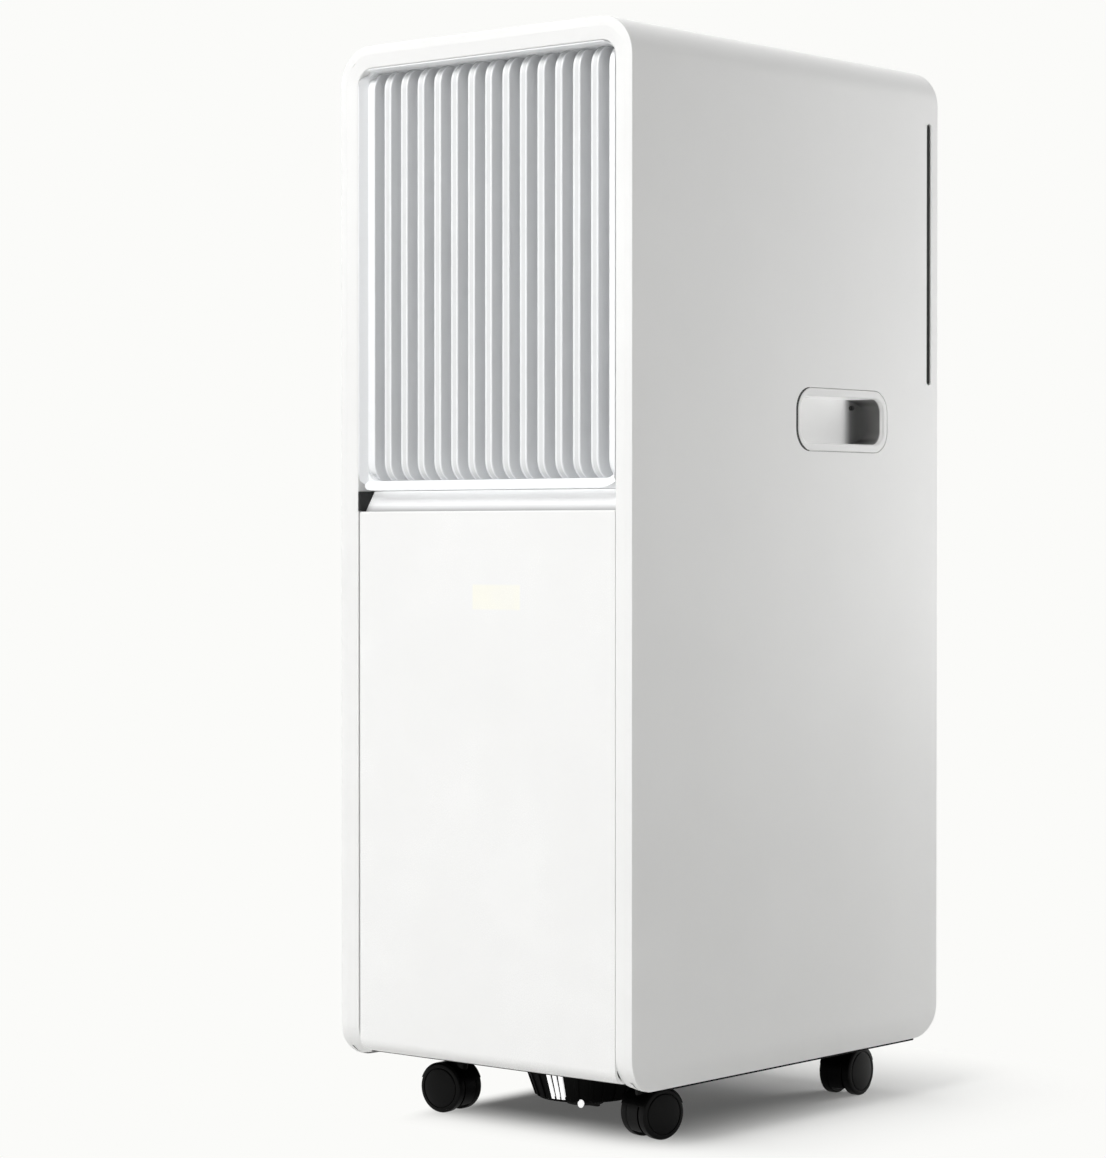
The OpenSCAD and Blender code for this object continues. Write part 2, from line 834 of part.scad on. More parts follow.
module return_bend(bend_r, tube_r)
    intersection() {
        rotate_extrude()
            translate([bend_r, 0])
                circle(r = tube_r);
        block([-bend_r - tube_r - 1, 0, -tube_r - 1],
              [bend_r + tube_r + 1, bend_r + tube_r + 1, tube_r + 1]);
    }

module evaporator() color([0.75, 0.77, 0.78])
    finned_coil(duct_rear + 7, duct_rear + 33, 480, 700, 7);

module condenser() color([0.75, 0.77, 0.78])
    finned_coil(126, 150, base_floor, 312, 8);

module partition_shelf() color(inner_grey) {
    block([-118, grille_back + 1.5, 428], [118, -6, 431]);
    block([-88, -6 - eps, 428], [88, 33, 431]);
    block([-88, 30, 428], [88, 33, 473]);
    block([-88, 30, 470], [88, 152, 473]);
    for (side = [-1, 1])
        block([side * 114.5 - 1.5, base_front + 20, base_floor],
              [side * 114.5 + 1.5, base_front + 50, 428 + eps]);
}

module air_duct() color(inner_grey) {
    difference() {
        union() {
            block([-duct_w / 2, duct_front, duct_low - sheet - 1], [duct_w / 2, duct_mid, duct_high]);
            block([-blower_box_w / 2, duct_mid - 4, blower_low - sheet],
                  [blower_box_w / 2, duct_rear, duct_high]);
        }
        block([-duct_w / 2 + sheet, duct_front - 1, duct_low - 1],
              [duct_w / 2 - sheet, duct_mid - sheet, duct_high - sheet]);
        block([-blower_box_w / 2 + sheet, duct_mid, blower_low],
              [blower_box_w / 2 - sheet, duct_rear - sheet, duct_high - sheet]);
        bar_y(0, blower_z, 50, duct_rear - 5, duct_rear + 1);
        block([-70, duct_mid - 5, duct_high - 42], [70, duct_mid + 1, duct_high - 6]);
        for (i = [0:vane_count - 1])
            bar_x(vane_y, vane_z(i), vane_pin_r + fit, -duct_w, duct_w);
    }
    scroll_wall();
}

// Spiral wall round the blower wheel, open towards the top
module scroll_wall()
    along_y(blower_front - 4, duct_rear - sheet + eps)
        translate([0, blower_z])
            polygon(concat(
                [for (a = [100:10:400]) scroll_radius(a) * [cos(a), sin(a)]],
                [for (a = [400:-10:100]) (scroll_radius(a) - 2) * [cos(a), sin(a)]]));

function scroll_radius(a) = blower_r + 5 + (a - 100) * 0.045;

// A drum of forward-curved blades on a hub, drawn along +Z
module blade_drum(r, h, blades, shaft_l) {
    cylinder(r = r, h = 1.6);
    difference() {
        translate([0, 0, h - 3])
            cylinder(r = r, h = 3);
        translate([0, 0, h - 4])
            cylinder(r = r - 9, h = 5);
    }
    for (i = [0:blades - 1])
        rotate([0, 0, i * 360 / blades])
            translate([r - 8, 0, 1])
                rotate([0, 0, 35])
                    cube([6.5, 1.2, h - 2.5]);
    translate([0, 0, 0.6])
        cylinder(r = 12, h = h / 2);
    translate([0, 0, -shaft_l])
        cylinder(r = 4, h = shaft_l + 0.3);
}

module blower_wheel() color([0.3, 0.3, 0.32])
    translate([0, blower_front, blower_z])
        rotate([-90, 0, 0])
            blade_drum(blower_r, blower_back - blower_front, 32, 22);

module fan_motor(x, z, r, y_from, y_to) {
    difference() {
        union() {
            bar_y(x, z, r, y_from, y_to - 4);
            bar_y(x, z, r * 0.4, y_from, y_to);
            for (a = [0:90:270])
                translate([x, 0, z])
                    rotate([0, a, 0])
                        block([r - 3, y_from, -5], [r + 9, y_from + 3, 5]);
        }
        bar_y(x, z, 4 + fit, y_to - 16, y_to + 1);
    }
}

module blower_motor() color([0.2, 0.2, 0.22])
    fan_motor(0, blower_z, 36, duct_mid + 0.2, 34);

module hot_air_scroll() color(inner_grey) difference() {
    union() {
        along_y(scroll_front, scroll_back)
            scroll_flat(0);
        along_y(scroll_front, base_rear + 1)
            translate([-hot_box_w / 2, hot_box_low])
                square([hot_box_w, hot_box_high - hot_box_low]);
    }
    along_y(scroll_front + sheet, scroll_back - sheet)
        scroll_flat(sheet);
    along_y(scroll_front + sheet, base_rear - 1)
        translate([-hot_box_w / 2 + sheet, hot_box_low + sheet])
            square([hot_box_w - 2 * sheet, hot_box_high - hot_box_low - 2 * sheet]);
    bar_y(0, fan_z, 16, scroll_front - 1, scroll_front + 5);
    bar_y(0, fan_z, 46, scroll_back - 5, scroll_back + 1);
    bar_y(0, exhaust_z, exhaust_r - 2, base_rear - 4, base_rear + 2);
}

module scroll_flat(inset) {
    translate([0, fan_z])
        circle(r = scroll_r - inset, $fn = 96);
    translate([inset, fan_z])
        square([scroll_r - 2 * inset, hot_box_low + 6 - fan_z]);
}

module condenser_wheel() color([0.3, 0.3, 0.32])
    translate([0, 62, fan_z])
        rotate([-90, 0, 0])
            blade_drum(fan_r, 44, 28, 26);

module condenser_motor() color([0.2, 0.2, 0.22])
    fan_motor(0, fan_z, 30, 6, scroll_front - 0.2);

module swing_vane(i) color(grille_white) {
    z = vane_z(i);
    along_x(-vane_x, vane_x - 6) {
        translate([vane_y - vane_chord / 2 + 1.2, z - 1.2])
            square([vane_chord - 2.4, 2.4]);
        for (y = [vane_y - vane_chord / 2 + 1.2, vane_y + vane_chord / 2 - 1.2])
            translate([y, z])
                circle(r = 1.2, $fn = 24);
        translate([vane_y, z])
            circle(r = 3.4);
    }
    bar_x(vane_y, z, vane_pin_r, -duct_w / 2 - (i == 1 ? 7 : 0.5), -vane_x + 1);
    bar_x(vane_y, z, vane_pin_r, vane_x - 7, duct_w / 2 + 0.5);
    bar_x(vane_y + crank, z, crank_r, vane_x - 7, link_x + link_t + 0.4);
}

module swing_vane_1() swing_vane(0);
module swing_vane_2() swing_vane(1);
module swing_vane_3() swing_vane(2);
module swing_vane_4() swing_vane(3);

module vane_link() color([0.8, 0.8, 0.82])
    difference() {
        along_x(link_x, link_x + link_t)
            round_flat([vane_y + crank - 4, vane_z(0) - 7],
                       [vane_y + crank + 4, vane_z(vane_count - 1) + 7], 3.5);
        for (i = [0:vane_count - 1])
            bar_x(vane_y + crank, vane_z(i), crank_r + fit, link_x - 1, link_x + link_t + 1);
    }

module swing_motor() color([0.7, 0.72, 0.74])
    difference() {
        union() {
            bar_x(vane_y, vane_z(1), 13, -duct_w / 2 - 15, -duct_w / 2 - 0.2);
            block([-duct_w / 2 - 2.2, vane_y - 19, vane_z(1) - 4],
                  [-duct_w / 2 - 0.2, vane_y + 19, vane_z(1) + 4]);
        }
        bar_x(vane_y, vane_z(1), vane_pin_r + fit, -duct_w / 2 - 8, -duct_w / 2 + 1);
    }

module electrical_box() color([0.25, 0.25, 0.27]) {
    difference() {
        block([30, -140, 200], [112, -50, 330]);
        block([32, -138, 202], [110, -52, 328]);
    }
    block([109, -120, base_floor], [112, -75, 200 + eps]);
}

module run_capacitor() color([0.75, 0.76, 0.78])
    translate([72, -95, 330]) {
        cylinder(r = 17, h = 62);
        for (x = [-6, 6])
            translate([x - 0.4, -3, 61.9])
                cube([0.8, 6, 8]);
    }

outer_sleeve();
front_frame();
outlet_grille();
front_panel();
grip_scoop();
side_seals();
display_window();
display_board();
control_panel();
power_button();
mode_button();
fan_button();
up_button();
down_button();
control_board();
rear_panel();
upper_intake_grille();
lower_intake_grille();
exhaust_collar();
filter_frame();
filter_mesh();
handle_cup_right();
handle_cup_left();
base_pan();
drain_sump();
drain_strainer();
drain_cap();
rear_drain_plug();
casing_screws();
cord_gland();
caster_stems();
caster_hood_fl();
caster_hood_fr();
caster_hood_rl();
caster_hood_rr();
caster_wheels_fl();
caster_wheels_fr();
caster_wheels_rl();
caster_wheels_rr();
compressor();
compressor_feet();
refrigerant_pipes();
evaporator();
condenser();
partition_shelf();
air_duct();
blower_wheel();
blower_motor();
hot_air_scroll();
condenser_wheel();
condenser_motor();
swing_vane_1();
swing_vane_2();
swing_vane_3();
swing_vane_4();
vane_link();
swing_motor();
electrical_box();
run_capacitor();
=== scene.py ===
import json
import math

import bmesh
import bpy
from mathutils import Matrix, Vector


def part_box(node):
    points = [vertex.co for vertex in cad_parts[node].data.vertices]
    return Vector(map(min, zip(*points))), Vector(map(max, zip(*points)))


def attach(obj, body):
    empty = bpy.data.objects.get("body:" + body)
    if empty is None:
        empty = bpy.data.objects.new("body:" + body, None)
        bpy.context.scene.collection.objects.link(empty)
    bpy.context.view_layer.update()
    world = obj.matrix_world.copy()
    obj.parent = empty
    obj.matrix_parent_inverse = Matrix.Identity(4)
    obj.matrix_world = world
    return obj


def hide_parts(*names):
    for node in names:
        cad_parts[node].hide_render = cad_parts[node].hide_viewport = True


# Portable air conditioner on four casters. Metres; the front faces -Y, the floor is Z = 0.
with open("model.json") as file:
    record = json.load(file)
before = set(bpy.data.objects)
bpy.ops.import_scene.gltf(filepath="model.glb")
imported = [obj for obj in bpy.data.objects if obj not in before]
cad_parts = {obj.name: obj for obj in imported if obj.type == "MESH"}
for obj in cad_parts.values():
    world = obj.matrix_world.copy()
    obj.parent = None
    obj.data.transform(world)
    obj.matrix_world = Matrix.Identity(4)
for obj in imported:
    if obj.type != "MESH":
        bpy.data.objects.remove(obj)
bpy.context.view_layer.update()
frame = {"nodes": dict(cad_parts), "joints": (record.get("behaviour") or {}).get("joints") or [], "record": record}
scene = bpy.context.scene
cad = frame["nodes"]
mm = 0.001
bodyOf = {node: body for body, members in frame["record"]["behaviour"]["bodies"].items() for node in members}
slotOf = {part["node"]: part["material_slot"] for part in frame["record"]["subparts"]}
jointOf = {joint["name"]: joint for joint in frame["joints"]}

# Camera and light

viewLook = {
    "position": (1.43140, -1.78908, 0.39282),
    "target": (-0.04871, -0.04125, 0.36302),
    "lens": 103.31,
}

studioLook = {
    "backdrop": (0.965, 0.965, 0.947),
    "skyLight": 0.2025,
    "lamps": [  # name, position, size, power, aim
        ("frontBox", (0.3, -2.6, 2.8), 1.8, 69.5, (0, 0, 0.38)),
        ("leftBox", (-1.5, -2.7, 2.5), 1.6, 34.1, (0, 0, 0.38)),
        ("overhead", (-1.2, 0.2, 3.2), 2.4, 36.0, (0, 0, 0.38)),
        ("rearHigh", (0.5, 0.95, 0.8), 0.6, 2.75, (0.126, 0.17, 0.42)),
        ("rearLow", (0.32, 0.8, 0.4), 0.4, 2.12, (0.126, 0.17, 0.42)),
    ],
}


def buildCamera():
    data = bpy.data.cameras.new("studioCamera")
    data.sensor_width = 36
    data.lens = viewLook["lens"]
    data.clip_end = 60
    camera = bpy.data.objects.new("studioCamera", data)
    camera.location = viewLook["position"]
    aim = Vector(viewLook["target"]) - Vector(viewLook["position"])
    camera.rotation_euler = aim.to_track_quat("-Z", "Y").to_euler()
    scene.collection.objects.link(camera)
    scene.camera = camera


def softBox(name, position, size, power, aimAt):
    data = bpy.data.lights.new(name, "AREA")
    data.shape = "DISK"
    data.size = size
    data.energy = power
    lamp = bpy.data.objects.new(name, data)
    lamp.location = position
    lamp.rotation_euler = (Vector(aimAt) - Vector(position)).to_track_quat("-Z", "Y").to_euler()
    scene.collection.objects.link(lamp)


def buildWorld():
    world = bpy.data.worlds.new("studioWorld")
    world.use_nodes = True
    scene.world = world
    tree = world.node_tree
    tree.nodes.clear()
    light = tree.nodes.new("ShaderNodeBackground")
    light.inputs["Color"].default_value = (1, 1, 1, 1)
    light.inputs["Strength"].default_value = studioLook["skyLight"]
    seen = tree.nodes.new("ShaderNodeBackground")
    seen.inputs["Color"].default_value = (*studioLook["backdrop"], 1)
    seen.inputs["Strength"].default_value = 1
    mix = tree.nodes.new("ShaderNodeMixShader")
    out = tree.nodes.new("ShaderNodeOutputWorld")
    tree.links.new(seenRays(tree), mix.inputs[0])
    tree.links.new(light.outputs[0], mix.inputs[1])
    tree.links.new(seen.outputs[0], mix.inputs[2])
    tree.links.new(mix.outputs[0], out.inputs[0])


def seenRays(tree):
    path = tree.nodes.new("ShaderNodeLightPath")
    first = calc(tree, "MAXIMUM", path.outputs["Is Camera Ray"], path.outputs["Is Glossy Ray"])
    return calc(tree, "MAXIMUM", first, path.outputs["Is Transmission Ray"])


# Node helpers

def feed(tree, socket, value):
    if isinstance(value, bpy.types.NodeSocket):
        tree.links.new(value, socket)
    elif value is not None:
        socket.default_value = value


def calc(tree, operation, first, second=None, third=None):
    node = tree.nodes.new("ShaderNodeMath")
    node.operation = operation
    for socket, value in zip(node.inputs, (first, second, third)):
        feed(tree, socket, value)
    return node.outputs[0]


def spread(tree, value, low, high, toLow=0.0, toHigh=1.0, soft=False):
    node = tree.nodes.new("ShaderNodeMapRange")
    node.interpolation_type = "SMOOTHSTEP" if soft else "LINEAR"
    for label, number in (("Value", value), ("From Min", low), ("From Max", high), ("To Min", toLow), ("To Max", toHigh)):
        feed(tree, node.inputs[label], number)
    return node.outputs["Result"]


def tint(tree, share, first, second):
    node = tree.nodes.new("ShaderNodeMix")
    node.data_type = "RGBA"
    feed(tree, node.inputs[0], share)
    feed(tree, node.inputs[6], (*first, 1) if isinstance(first, tuple) else first)
    feed(tree, node.inputs[7], (*second, 1) if isinstance(second, tuple) else second)
    return node.outputs[2]


def noise(tree, vector, scale, detail=2.0, rough=0.5):
    node = tree.nodes.new("ShaderNodeTexNoise")
    feed(tree, node.inputs["Vector"], vector)
    feed(tree, node.inputs["Scale"], scale)
    node.inputs["Detail"].default_value = detail
    node.inputs["Roughness"].default_value = rough
    return node.outputs[0]


def apart(tree, vector):
    node = tree.nodes.new("ShaderNodeSeparateXYZ")
    feed(tree, node.inputs[0], vector)
    return node.outputs


def stretch(tree, vector, scale):
    node = tree.nodes.new("ShaderNodeMapping")
    feed(tree, node.inputs["Vector"], vector)
    node.inputs["Scale"].default_value = scale
    return node.outputs[0]


def bump(tree, height, strength, distance):
    node = tree.nodes.new("ShaderNodeBump")
    node.inputs["Strength"].default_value = strength
    node.inputs["Distance"].default_value = distance
    feed(tree, node.inputs["Height"], height)
    return node.outputs[0]


def newGroup(name, inputs, outputs):
    group = bpy.data.node_groups.new(name, "ShaderNodeTree")
    for label, kind, value in inputs:
        socket = group.interface.new_socket(label, in_out="INPUT", socket_type="NodeSocket" + kind)
        if value is not None:
            socket.default_value = value
    for label, kind in outputs:
        group.interface.new_socket(label, in_out="OUTPUT", socket_type="NodeSocket" + kind)
    return group, group.nodes.new("NodeGroupInput").outputs, group.nodes.new("NodeGroupOutput").inputs


def useGroup(tree, group, **values):
    node = tree.nodes.new("ShaderNodeGroup")
    node.node_tree = group
    for label, value in values.items():
        feed(tree, node.inputs[label], value)
    return node.outputs


def newMaterial(name):
    material = bpy.data.materials.new(name)
    material.use_nodes = True
    tree = material.node_tree
    return material, tree, tree.nodes["Principled BSDF"].inputs, tree.nodes.new("ShaderNodeTexCoord").outputs["Object"]


def dress(tree, shader, colour, rough, relief):
    for label, value in (("Base Color", colour), ("Roughness", rough), ("Normal", relief)):
        tree.links.new(value, shader[label])


# Shared effects

def mouldedSkin():
    # fine spark-eroded grain, with a slow drift of tone and gloss over the moulding
    group, given, out = newGroup("mouldedSkin",
        [("Vector", "Vector", None), ("Grain", "Float", 900.0), ("Drift", "Float", 9.0)],
        [("Height", "Float"), ("Tone", "Float"), ("Gloss", "Float")])
    fine = noise(group, given["Vector"], given["Grain"], 3.0, 0.6)
    slow = noise(group, given["Vector"], given["Drift"], 2.0)
    group.links.new(fine, out["Height"])
    group.links.new(spread(group, slow, 0.35, 0.65), out["Tone"])
    group.links.new(calc(group, "MULTIPLY_ADD", fine, 0.4, calc(group, "MULTIPLY", slow, 0.6)), out["Gloss"])
    return group


def settledDust():
    # a thin veil on faces that look up, broken up by noise
    group, given, out = newGroup("settledDust",
        [("Vector", "Vector", None), ("Scale", "Float", 40.0)], [("Mask", "Float")])
    normal = group.nodes.new("ShaderNodeNewGeometry").outputs["Normal"]
    up = spread(group, apart(group, normal)["Z"], 0.45, 1.0, soft=True)
    specks = spread(group, noise(group, given["Vector"], given["Scale"], 4.0, 0.65), 0.4, 0.75)
    group.links.new(calc(group, "MULTIPLY", up, specks), out["Mask"])
    return group


def rubbedEdge():
    # outer corners, made glossier by handling and painted lighter as a painted sheen
    group, given, out = newGroup("rubbedEdge",
        [("Vector", "Vector", None), ("Scale", "Float", 60.0)], [("Mask", "Float")])
    point = group.nodes.new("ShaderNodeNewGeometry").outputs["Pointiness"]
    edge = spread(group, point, 0.51, 0.58)
    broken = spread(group, noise(group, given["Vector"], given["Scale"], 3.0), 0.35, 0.65)
    group.links.new(calc(group, "MULTIPLY", edge, broken), out["Mask"])
    return group


def netGrid():
    # square net: threads along X and Z, open between them
    group, given, out = newGroup("netGrid",
        [("Vector", "Vector", None), ("Pitch", "Float", 0.0016), ("Thread", "Float", 0.32)],
        [("Solid", "Float"), ("Height", "Float")])
    across = apart(group, given["Vector"])
    sides = []
    for axis in ("X", "Z"):
        turn = calc(group, "FRACT", calc(group, "DIVIDE", across[axis], given["Pitch"]))
        sides.append(calc(group, "ABSOLUTE", calc(group, "SUBTRACT", turn, 0.5)))
    nearest = calc(group, "MINIMUM", sides[0], sides[1])
    half = calc(group, "MULTIPLY", given["Thread"], 0.5)
    group.links.new(calc(group, "LESS_THAN", nearest, half), out["Solid"])
    group.links.new(spread(group, nearest, 0.0, half, 1.0, 0.0), out["Height"])
    return group


def drawnMetal():
    # fine streaks along one direction, as on drawn or rolled metal
    group, given, out = newGroup("drawnMetal",
        [("Vector", "Vector", None), ("Scale", "Float", 900.0)], [("Streak", "Float"), ("Stain", "Float")])
    group.links.new(noise(group, given["Vector"], given["Scale"], 2.0), out["Streak"])
    group.links.new(spread(group, noise(group, given["Vector"], 35.0, 4.0, 0.6), 0.35, 0.7), out["Stain"])
    return group


skinGroup, dustGroup, edgeGroup, netGroup, metalGroup = (
    mouldedSkin(), settledDust(), rubbedEdge(), netGrid(), drawnMetal())

# Finishes, one for each material slot of the record

plasticLooks = {
    "shell_white": dict(colour=(0.875, 0.875, 0.868), gloss=(0.40, 0.50), grain=1100, relief=0.05, dust=0.05),
    "frame_white": dict(colour=(0.880, 0.880, 0.873), gloss=(0.38, 0.46), grain=1100, relief=0.05, dust=0.05),
    "grille_white": dict(colour=(0.915, 0.926, 0.938), gloss=(0.34, 0.42), grain=1200, relief=0.04, dust=0.12),
    # the fins' grooves: rougher than the grille, and painted darker as painted shade
    "fin_matte": dict(colour=(0.735, 0.748, 0.755), gloss=(0.50, 0.60), grain=1200, relief=0.04, dust=0.02),
    "scoop_grey": dict(colour=(0.860, 0.865, 0.870), gloss=(0.40, 0.48), grain=1000, relief=0.05, dust=0.10),
    "button_grey": dict(colour=(0.640, 0.645, 0.655), gloss=(0.30, 0.38), grain=1500, relief=0.03, dust=0.04),
    "collar_grey": dict(colour=(0.300, 0.305, 0.315), gloss=(0.42, 0.52), grain=900, relief=0.08, dust=0.10),
    "inner_plastic": dict(colour=(0.330, 0.335, 0.345), gloss=(0.48, 0.60), grain=700, relief=0.10, dust=0.25),
    "fan_plastic": dict(colour=(0.060, 0.062, 0.068), gloss=(0.40, 0.52), grain=800, relief=0.08, dust=0.20),
    "vane_white": dict(colour=(0.900, 0.915, 0.930), gloss=(0.36, 0.44), grain=1200, relief=0.04, dust=0.10),
    "link_white": dict(colour=(0.680, 0.680, 0.690), gloss=(0.32, 0.40), grain=1200, relief=0.04, dust=0.05),
    "box_grey": dict(colour=(0.160, 0.165, 0.175), gloss=(0.50, 0.62), grain=700, relief=0.10, dust=0.20),
    "control_black": dict(colour=(0.012, 0.012, 0.014), gloss=(0.10, 0.16), grain=1500, relief=0.02, dust=0.05, rub=0.3),
    "chassis_black": dict(colour=(0.002, 0.002, 0.002), gloss=(0.52, 0.64), grain=700, relief=0.10, dust=0.004, shine=0.08),
    "caster_black": dict(colour=(0.0025, 0.0025, 0.0025), gloss=(0.30, 0.40), grain=900, relief=0.06, dust=0.005, shine=0.10),
    "wheel_black": dict(colour=(0.0035, 0.0035, 0.0035), gloss=(0.34, 0.46), grain=800, relief=0.06, dust=0.005, shine=0.10),
    "rubber_black": dict(colour=(0.018, 0.018, 0.018), gloss=(0.62, 0.76), grain=600, relief=0.16, dust=0.12),
    # the strainer glows a little: painted light that keeps it white in the shade under the body
    "strainer_white": dict(colour=(0.93, 0.93, 0.92), gloss=(0.36, 0.46), grain=1100, relief=0.05, dust=0.02, glow=0.45),
    "filter_black": dict(colour=(0.006, 0.006, 0.006), gloss=(0.60, 0.72), grain=900, relief=0.08, dust=0.02, shine=0.12),
    "panel_white": dict(colour=(0.895, 0.895, 0.888), gloss=(0.22, 0.30), grain=1400, relief=0.02, dust=0.02),
}
plasticLooks["grip_white"] = plasticLooks["shell_white"]

metalLooks = {
    "screw_steel": dict(colour=(0.62, 0.62, 0.63), stain=(0.42, 0.42, 0.43), gloss=(0.26, 0.42), along=(1, 1, 1)),
    "motor_steel": dict(colour=(0.46, 0.47, 0.48), stain=(0.30, 0.30, 0.31), gloss=(0.34, 0.52), along=(1, 0.08, 1)),
    "can_aluminium": dict(colour=(0.78, 0.79, 0.80), stain=(0.62, 0.63, 0.64), gloss=(0.26, 0.40), along=(1, 1, 0.08)),
    "copper": dict(colour=(0.78, 0.40, 0.24), stain=(0.38, 0.19, 0.12), gloss=(0.24, 0.46), along=(1, 1, 1)),
}


def plasticFinish(name):
    look = plasticLooks[name]
    material, tree, shader, place = newMaterial(name)
    skin = useGroup(tree, skinGroup, Vector=place, Grain=look["grain"])
    dust = calc(tree, "MULTIPLY", useGroup(tree, dustGroup, Vector=place)["Mask"], look["dust"])
    colour = tint(tree, skin["Tone"], tuple(c * 0.975 for c in look["colour"]), look["colour"])
    rough = spread(tree, skin["Gloss"], 0.35, 0.65, *look["gloss"])
    if "rub" in look:
        wearAndSheen = calc(tree, "MULTIPLY", useGroup(tree, edgeGroup, Vector=place)["Mask"], look["rub"])
        # painted sheen: the corners are painted lighter; wear makes them glossier
        colour = tint(tree, wearAndSheen, colour, (0.05, 0.05, 0.052))
        rough = calc(tree, "MULTIPLY_ADD", wearAndSheen, -0.08, rough)
    colour = tint(tree, dust, colour, (0.62, 0.60, 0.57))
    dress(tree, shader, colour, calc(tree, "MULTIPLY_ADD", dust, 0.4, rough),
          bump(tree, skin["Height"], look["relief"], 0.0006))
    shader["IOR"].default_value = 1.49
    shader["Specular IOR Level"].default_value = look.get("shine", 0.5)
    shader["Emission Color"].default_value = (1, 1, 1, 1)
    shader["Emission Strength"].default_value = look.get("glow", 0.0)
    return material, tree, shader, place, colour


def metalFinish(name):
    look = metalLooks[name]
    material, tree, shader, place = newMaterial(name)
    drawn = useGroup(tree, metalGroup, Vector=stretch(tree, place, look["along"]))
    dress(tree, shader, tint(tree, drawn["Stain"], look["colour"], look["stain"]),
          spread(tree, drawn["Streak"], 0.3, 0.7, *look["gloss"]), bump(tree, drawn["Streak"], 0.12, 0.0003))
    shader["Metallic"].default_value = 1.0
    return material


# warm light of the hidden display, seen through the panel
glowLook = {"X": (-0.0096, 0.0334), "Z": (0.3438, 0.3621), "soft": 0.0022, "warm": (0.925, 0.915, 0.835)}


def panelFinish():
    material, tree, shader, place, colour = plasticFinish("panel_white")
    at = apart(tree, place)
    sides = []
    for axis in ("X", "Z"):
        start, stop = glowLook[axis]
        sides.append(spread(tree, at[axis], start, start + glowLook["soft"], soft=True))
        sides.append(spread(tree, at[axis], stop - glowLook["soft"], stop, 1.0, 0.0, soft=True))
    glow = calc(tree, "MULTIPLY", calc(tree, "MULTIPLY", sides[0], sides[1]), calc(tree, "MULTIPLY", sides[2], sides[3]))
    uneven = spread(tree, noise(tree, place, 55.0, 2.0), 0.3, 0.7, 0.7, 1.0)
    tree.links.new(tint(tree, calc(tree, "MULTIPLY", glow, uneven), colour, glowLook["warm"]), shader["Base Color"])
    return material


def foamFinish():
    material, tree, shader, place = newMaterial("foam_black")
    cells = tree.nodes.new("ShaderNodeTexVoronoi")
    tree.links.new(place, cells.inputs["Vector"])
    cells.inputs["Scale"].default_value = 1400
    wall = cells.outputs["Distance"]
    dress(tree, shader, tint(tree, wall, (0.030, 0.030, 0.031), (0.008, 0.008, 0.008)),
          spread(tree, wall, 0.0, 1.0, 0.95, 0.75), bump(tree, wall, 0.5, 0.0004))
    return material


def diffuserFinish():
    material, tree, shader, place = newMaterial("diffuser")
    cloud = noise(tree, place, 120.0, 2.0)
    dress(tree, shader, tint(tree, cloud, (0.95, 0.86, 0.58), (0.90, 0.78, 0.46)),
          spread(tree, cloud, 0.3, 0.7, 0.4, 0.6), bump(tree, noise(tree, place, 1600.0), 0.1, 0.0003))
    return material


def boardFinish():
    material, tree, shader, place = newMaterial("board_green")
    tracks = tree.nodes.new("ShaderNodeTexBrick")
    tree.links.new(place, tracks.inputs["Vector"])
    tracks.inputs["Scale"].default_value = 160
    tracks.inputs["Mortar Size"].default_value = 0.06
    tracks.inputs["Color1"].default_value = (0.010, 0.085, 0.035, 1)
    tracks.inputs["Color2"].default_value = (0.014, 0.105, 0.045, 1)
    tracks.inputs["Mortar"].default_value = (0.06, 0.22, 0.09, 1)
    dress(tree, shader, tracks.outputs["Color"], spread(tree, noise(tree, place, 300.0), 0.3, 0.7, 0.25, 0.4),
          bump(tree, tracks.outputs["Fac"], 0.3, 0.0001))
    return material


def coilFinish():
    # bright aluminium leaves, 1.6 mm apart across the coil, with painted shade in the gaps between them, and the stain
    # of condensed water
    material, tree, shader, place = newMaterial("coil_fin")
    leaf = calc(tree, "FRACT", calc(tree, "DIVIDE", apart(tree, place)["X"], 0.0016))
    depth = spread(tree, calc(tree, "ABSOLUTE", calc(tree, "SUBTRACT", leaf, 0.5)), 0.05, 0.35, soft=True)
    stain = spread(tree, noise(tree, place, 45.0, 4.0), 0.4, 0.7)
    bright = tint(tree, stain, (0.74, 0.76, 0.78), (0.60, 0.60, 0.58))
    dress(tree, shader, tint(tree, depth, (0.06, 0.062, 0.066), bright),
          spread(tree, stain, 0.0, 1.0, 0.32, 0.5), bump(tree, depth, 0.8, 0.0006))
    tree.links.new(calc(tree, "MULTIPLY", depth, 0.85), shader["Metallic"])
    return material


def netFinish():
    material, tree, shader, place = newMaterial("filter_net")
    net = useGroup(tree, netGroup, Vector=place)
    # the threads are painted lighter along their middles and darker towards their edges, painted shade on their round
    # sides
    dress(tree, shader, tint(tree, net["Height"], (0.05, 0.052, 0.058), (0.13, 0.135, 0.145)),
          spread(tree, net["Height"], 0.0, 1.0, 0.7, 0.5), bump(tree, net["Height"], 0.6, 0.0003))
    tree.links.new(net["Solid"], shader["Alpha"])
    return material


def compressorFinish():
    material, tree, shader, place = newMaterial("compressor_black")
    peel = noise(tree, place, 420.0, 2.0)
    stain = spread(tree, noise(tree, place, 22.0, 4.0), 0.5, 0.75)
    dress(tree, shader, tint(tree, stain, (0.014, 0.014, 0.015), (0.045, 0.042, 0.040)),
          spread(tree, stain, 0.0, 1.0, 0.24, 0.5), bump(tree, peel, 0.25, 0.0005))
    shader["Coat Weight"].default_value = 0.3
    return material


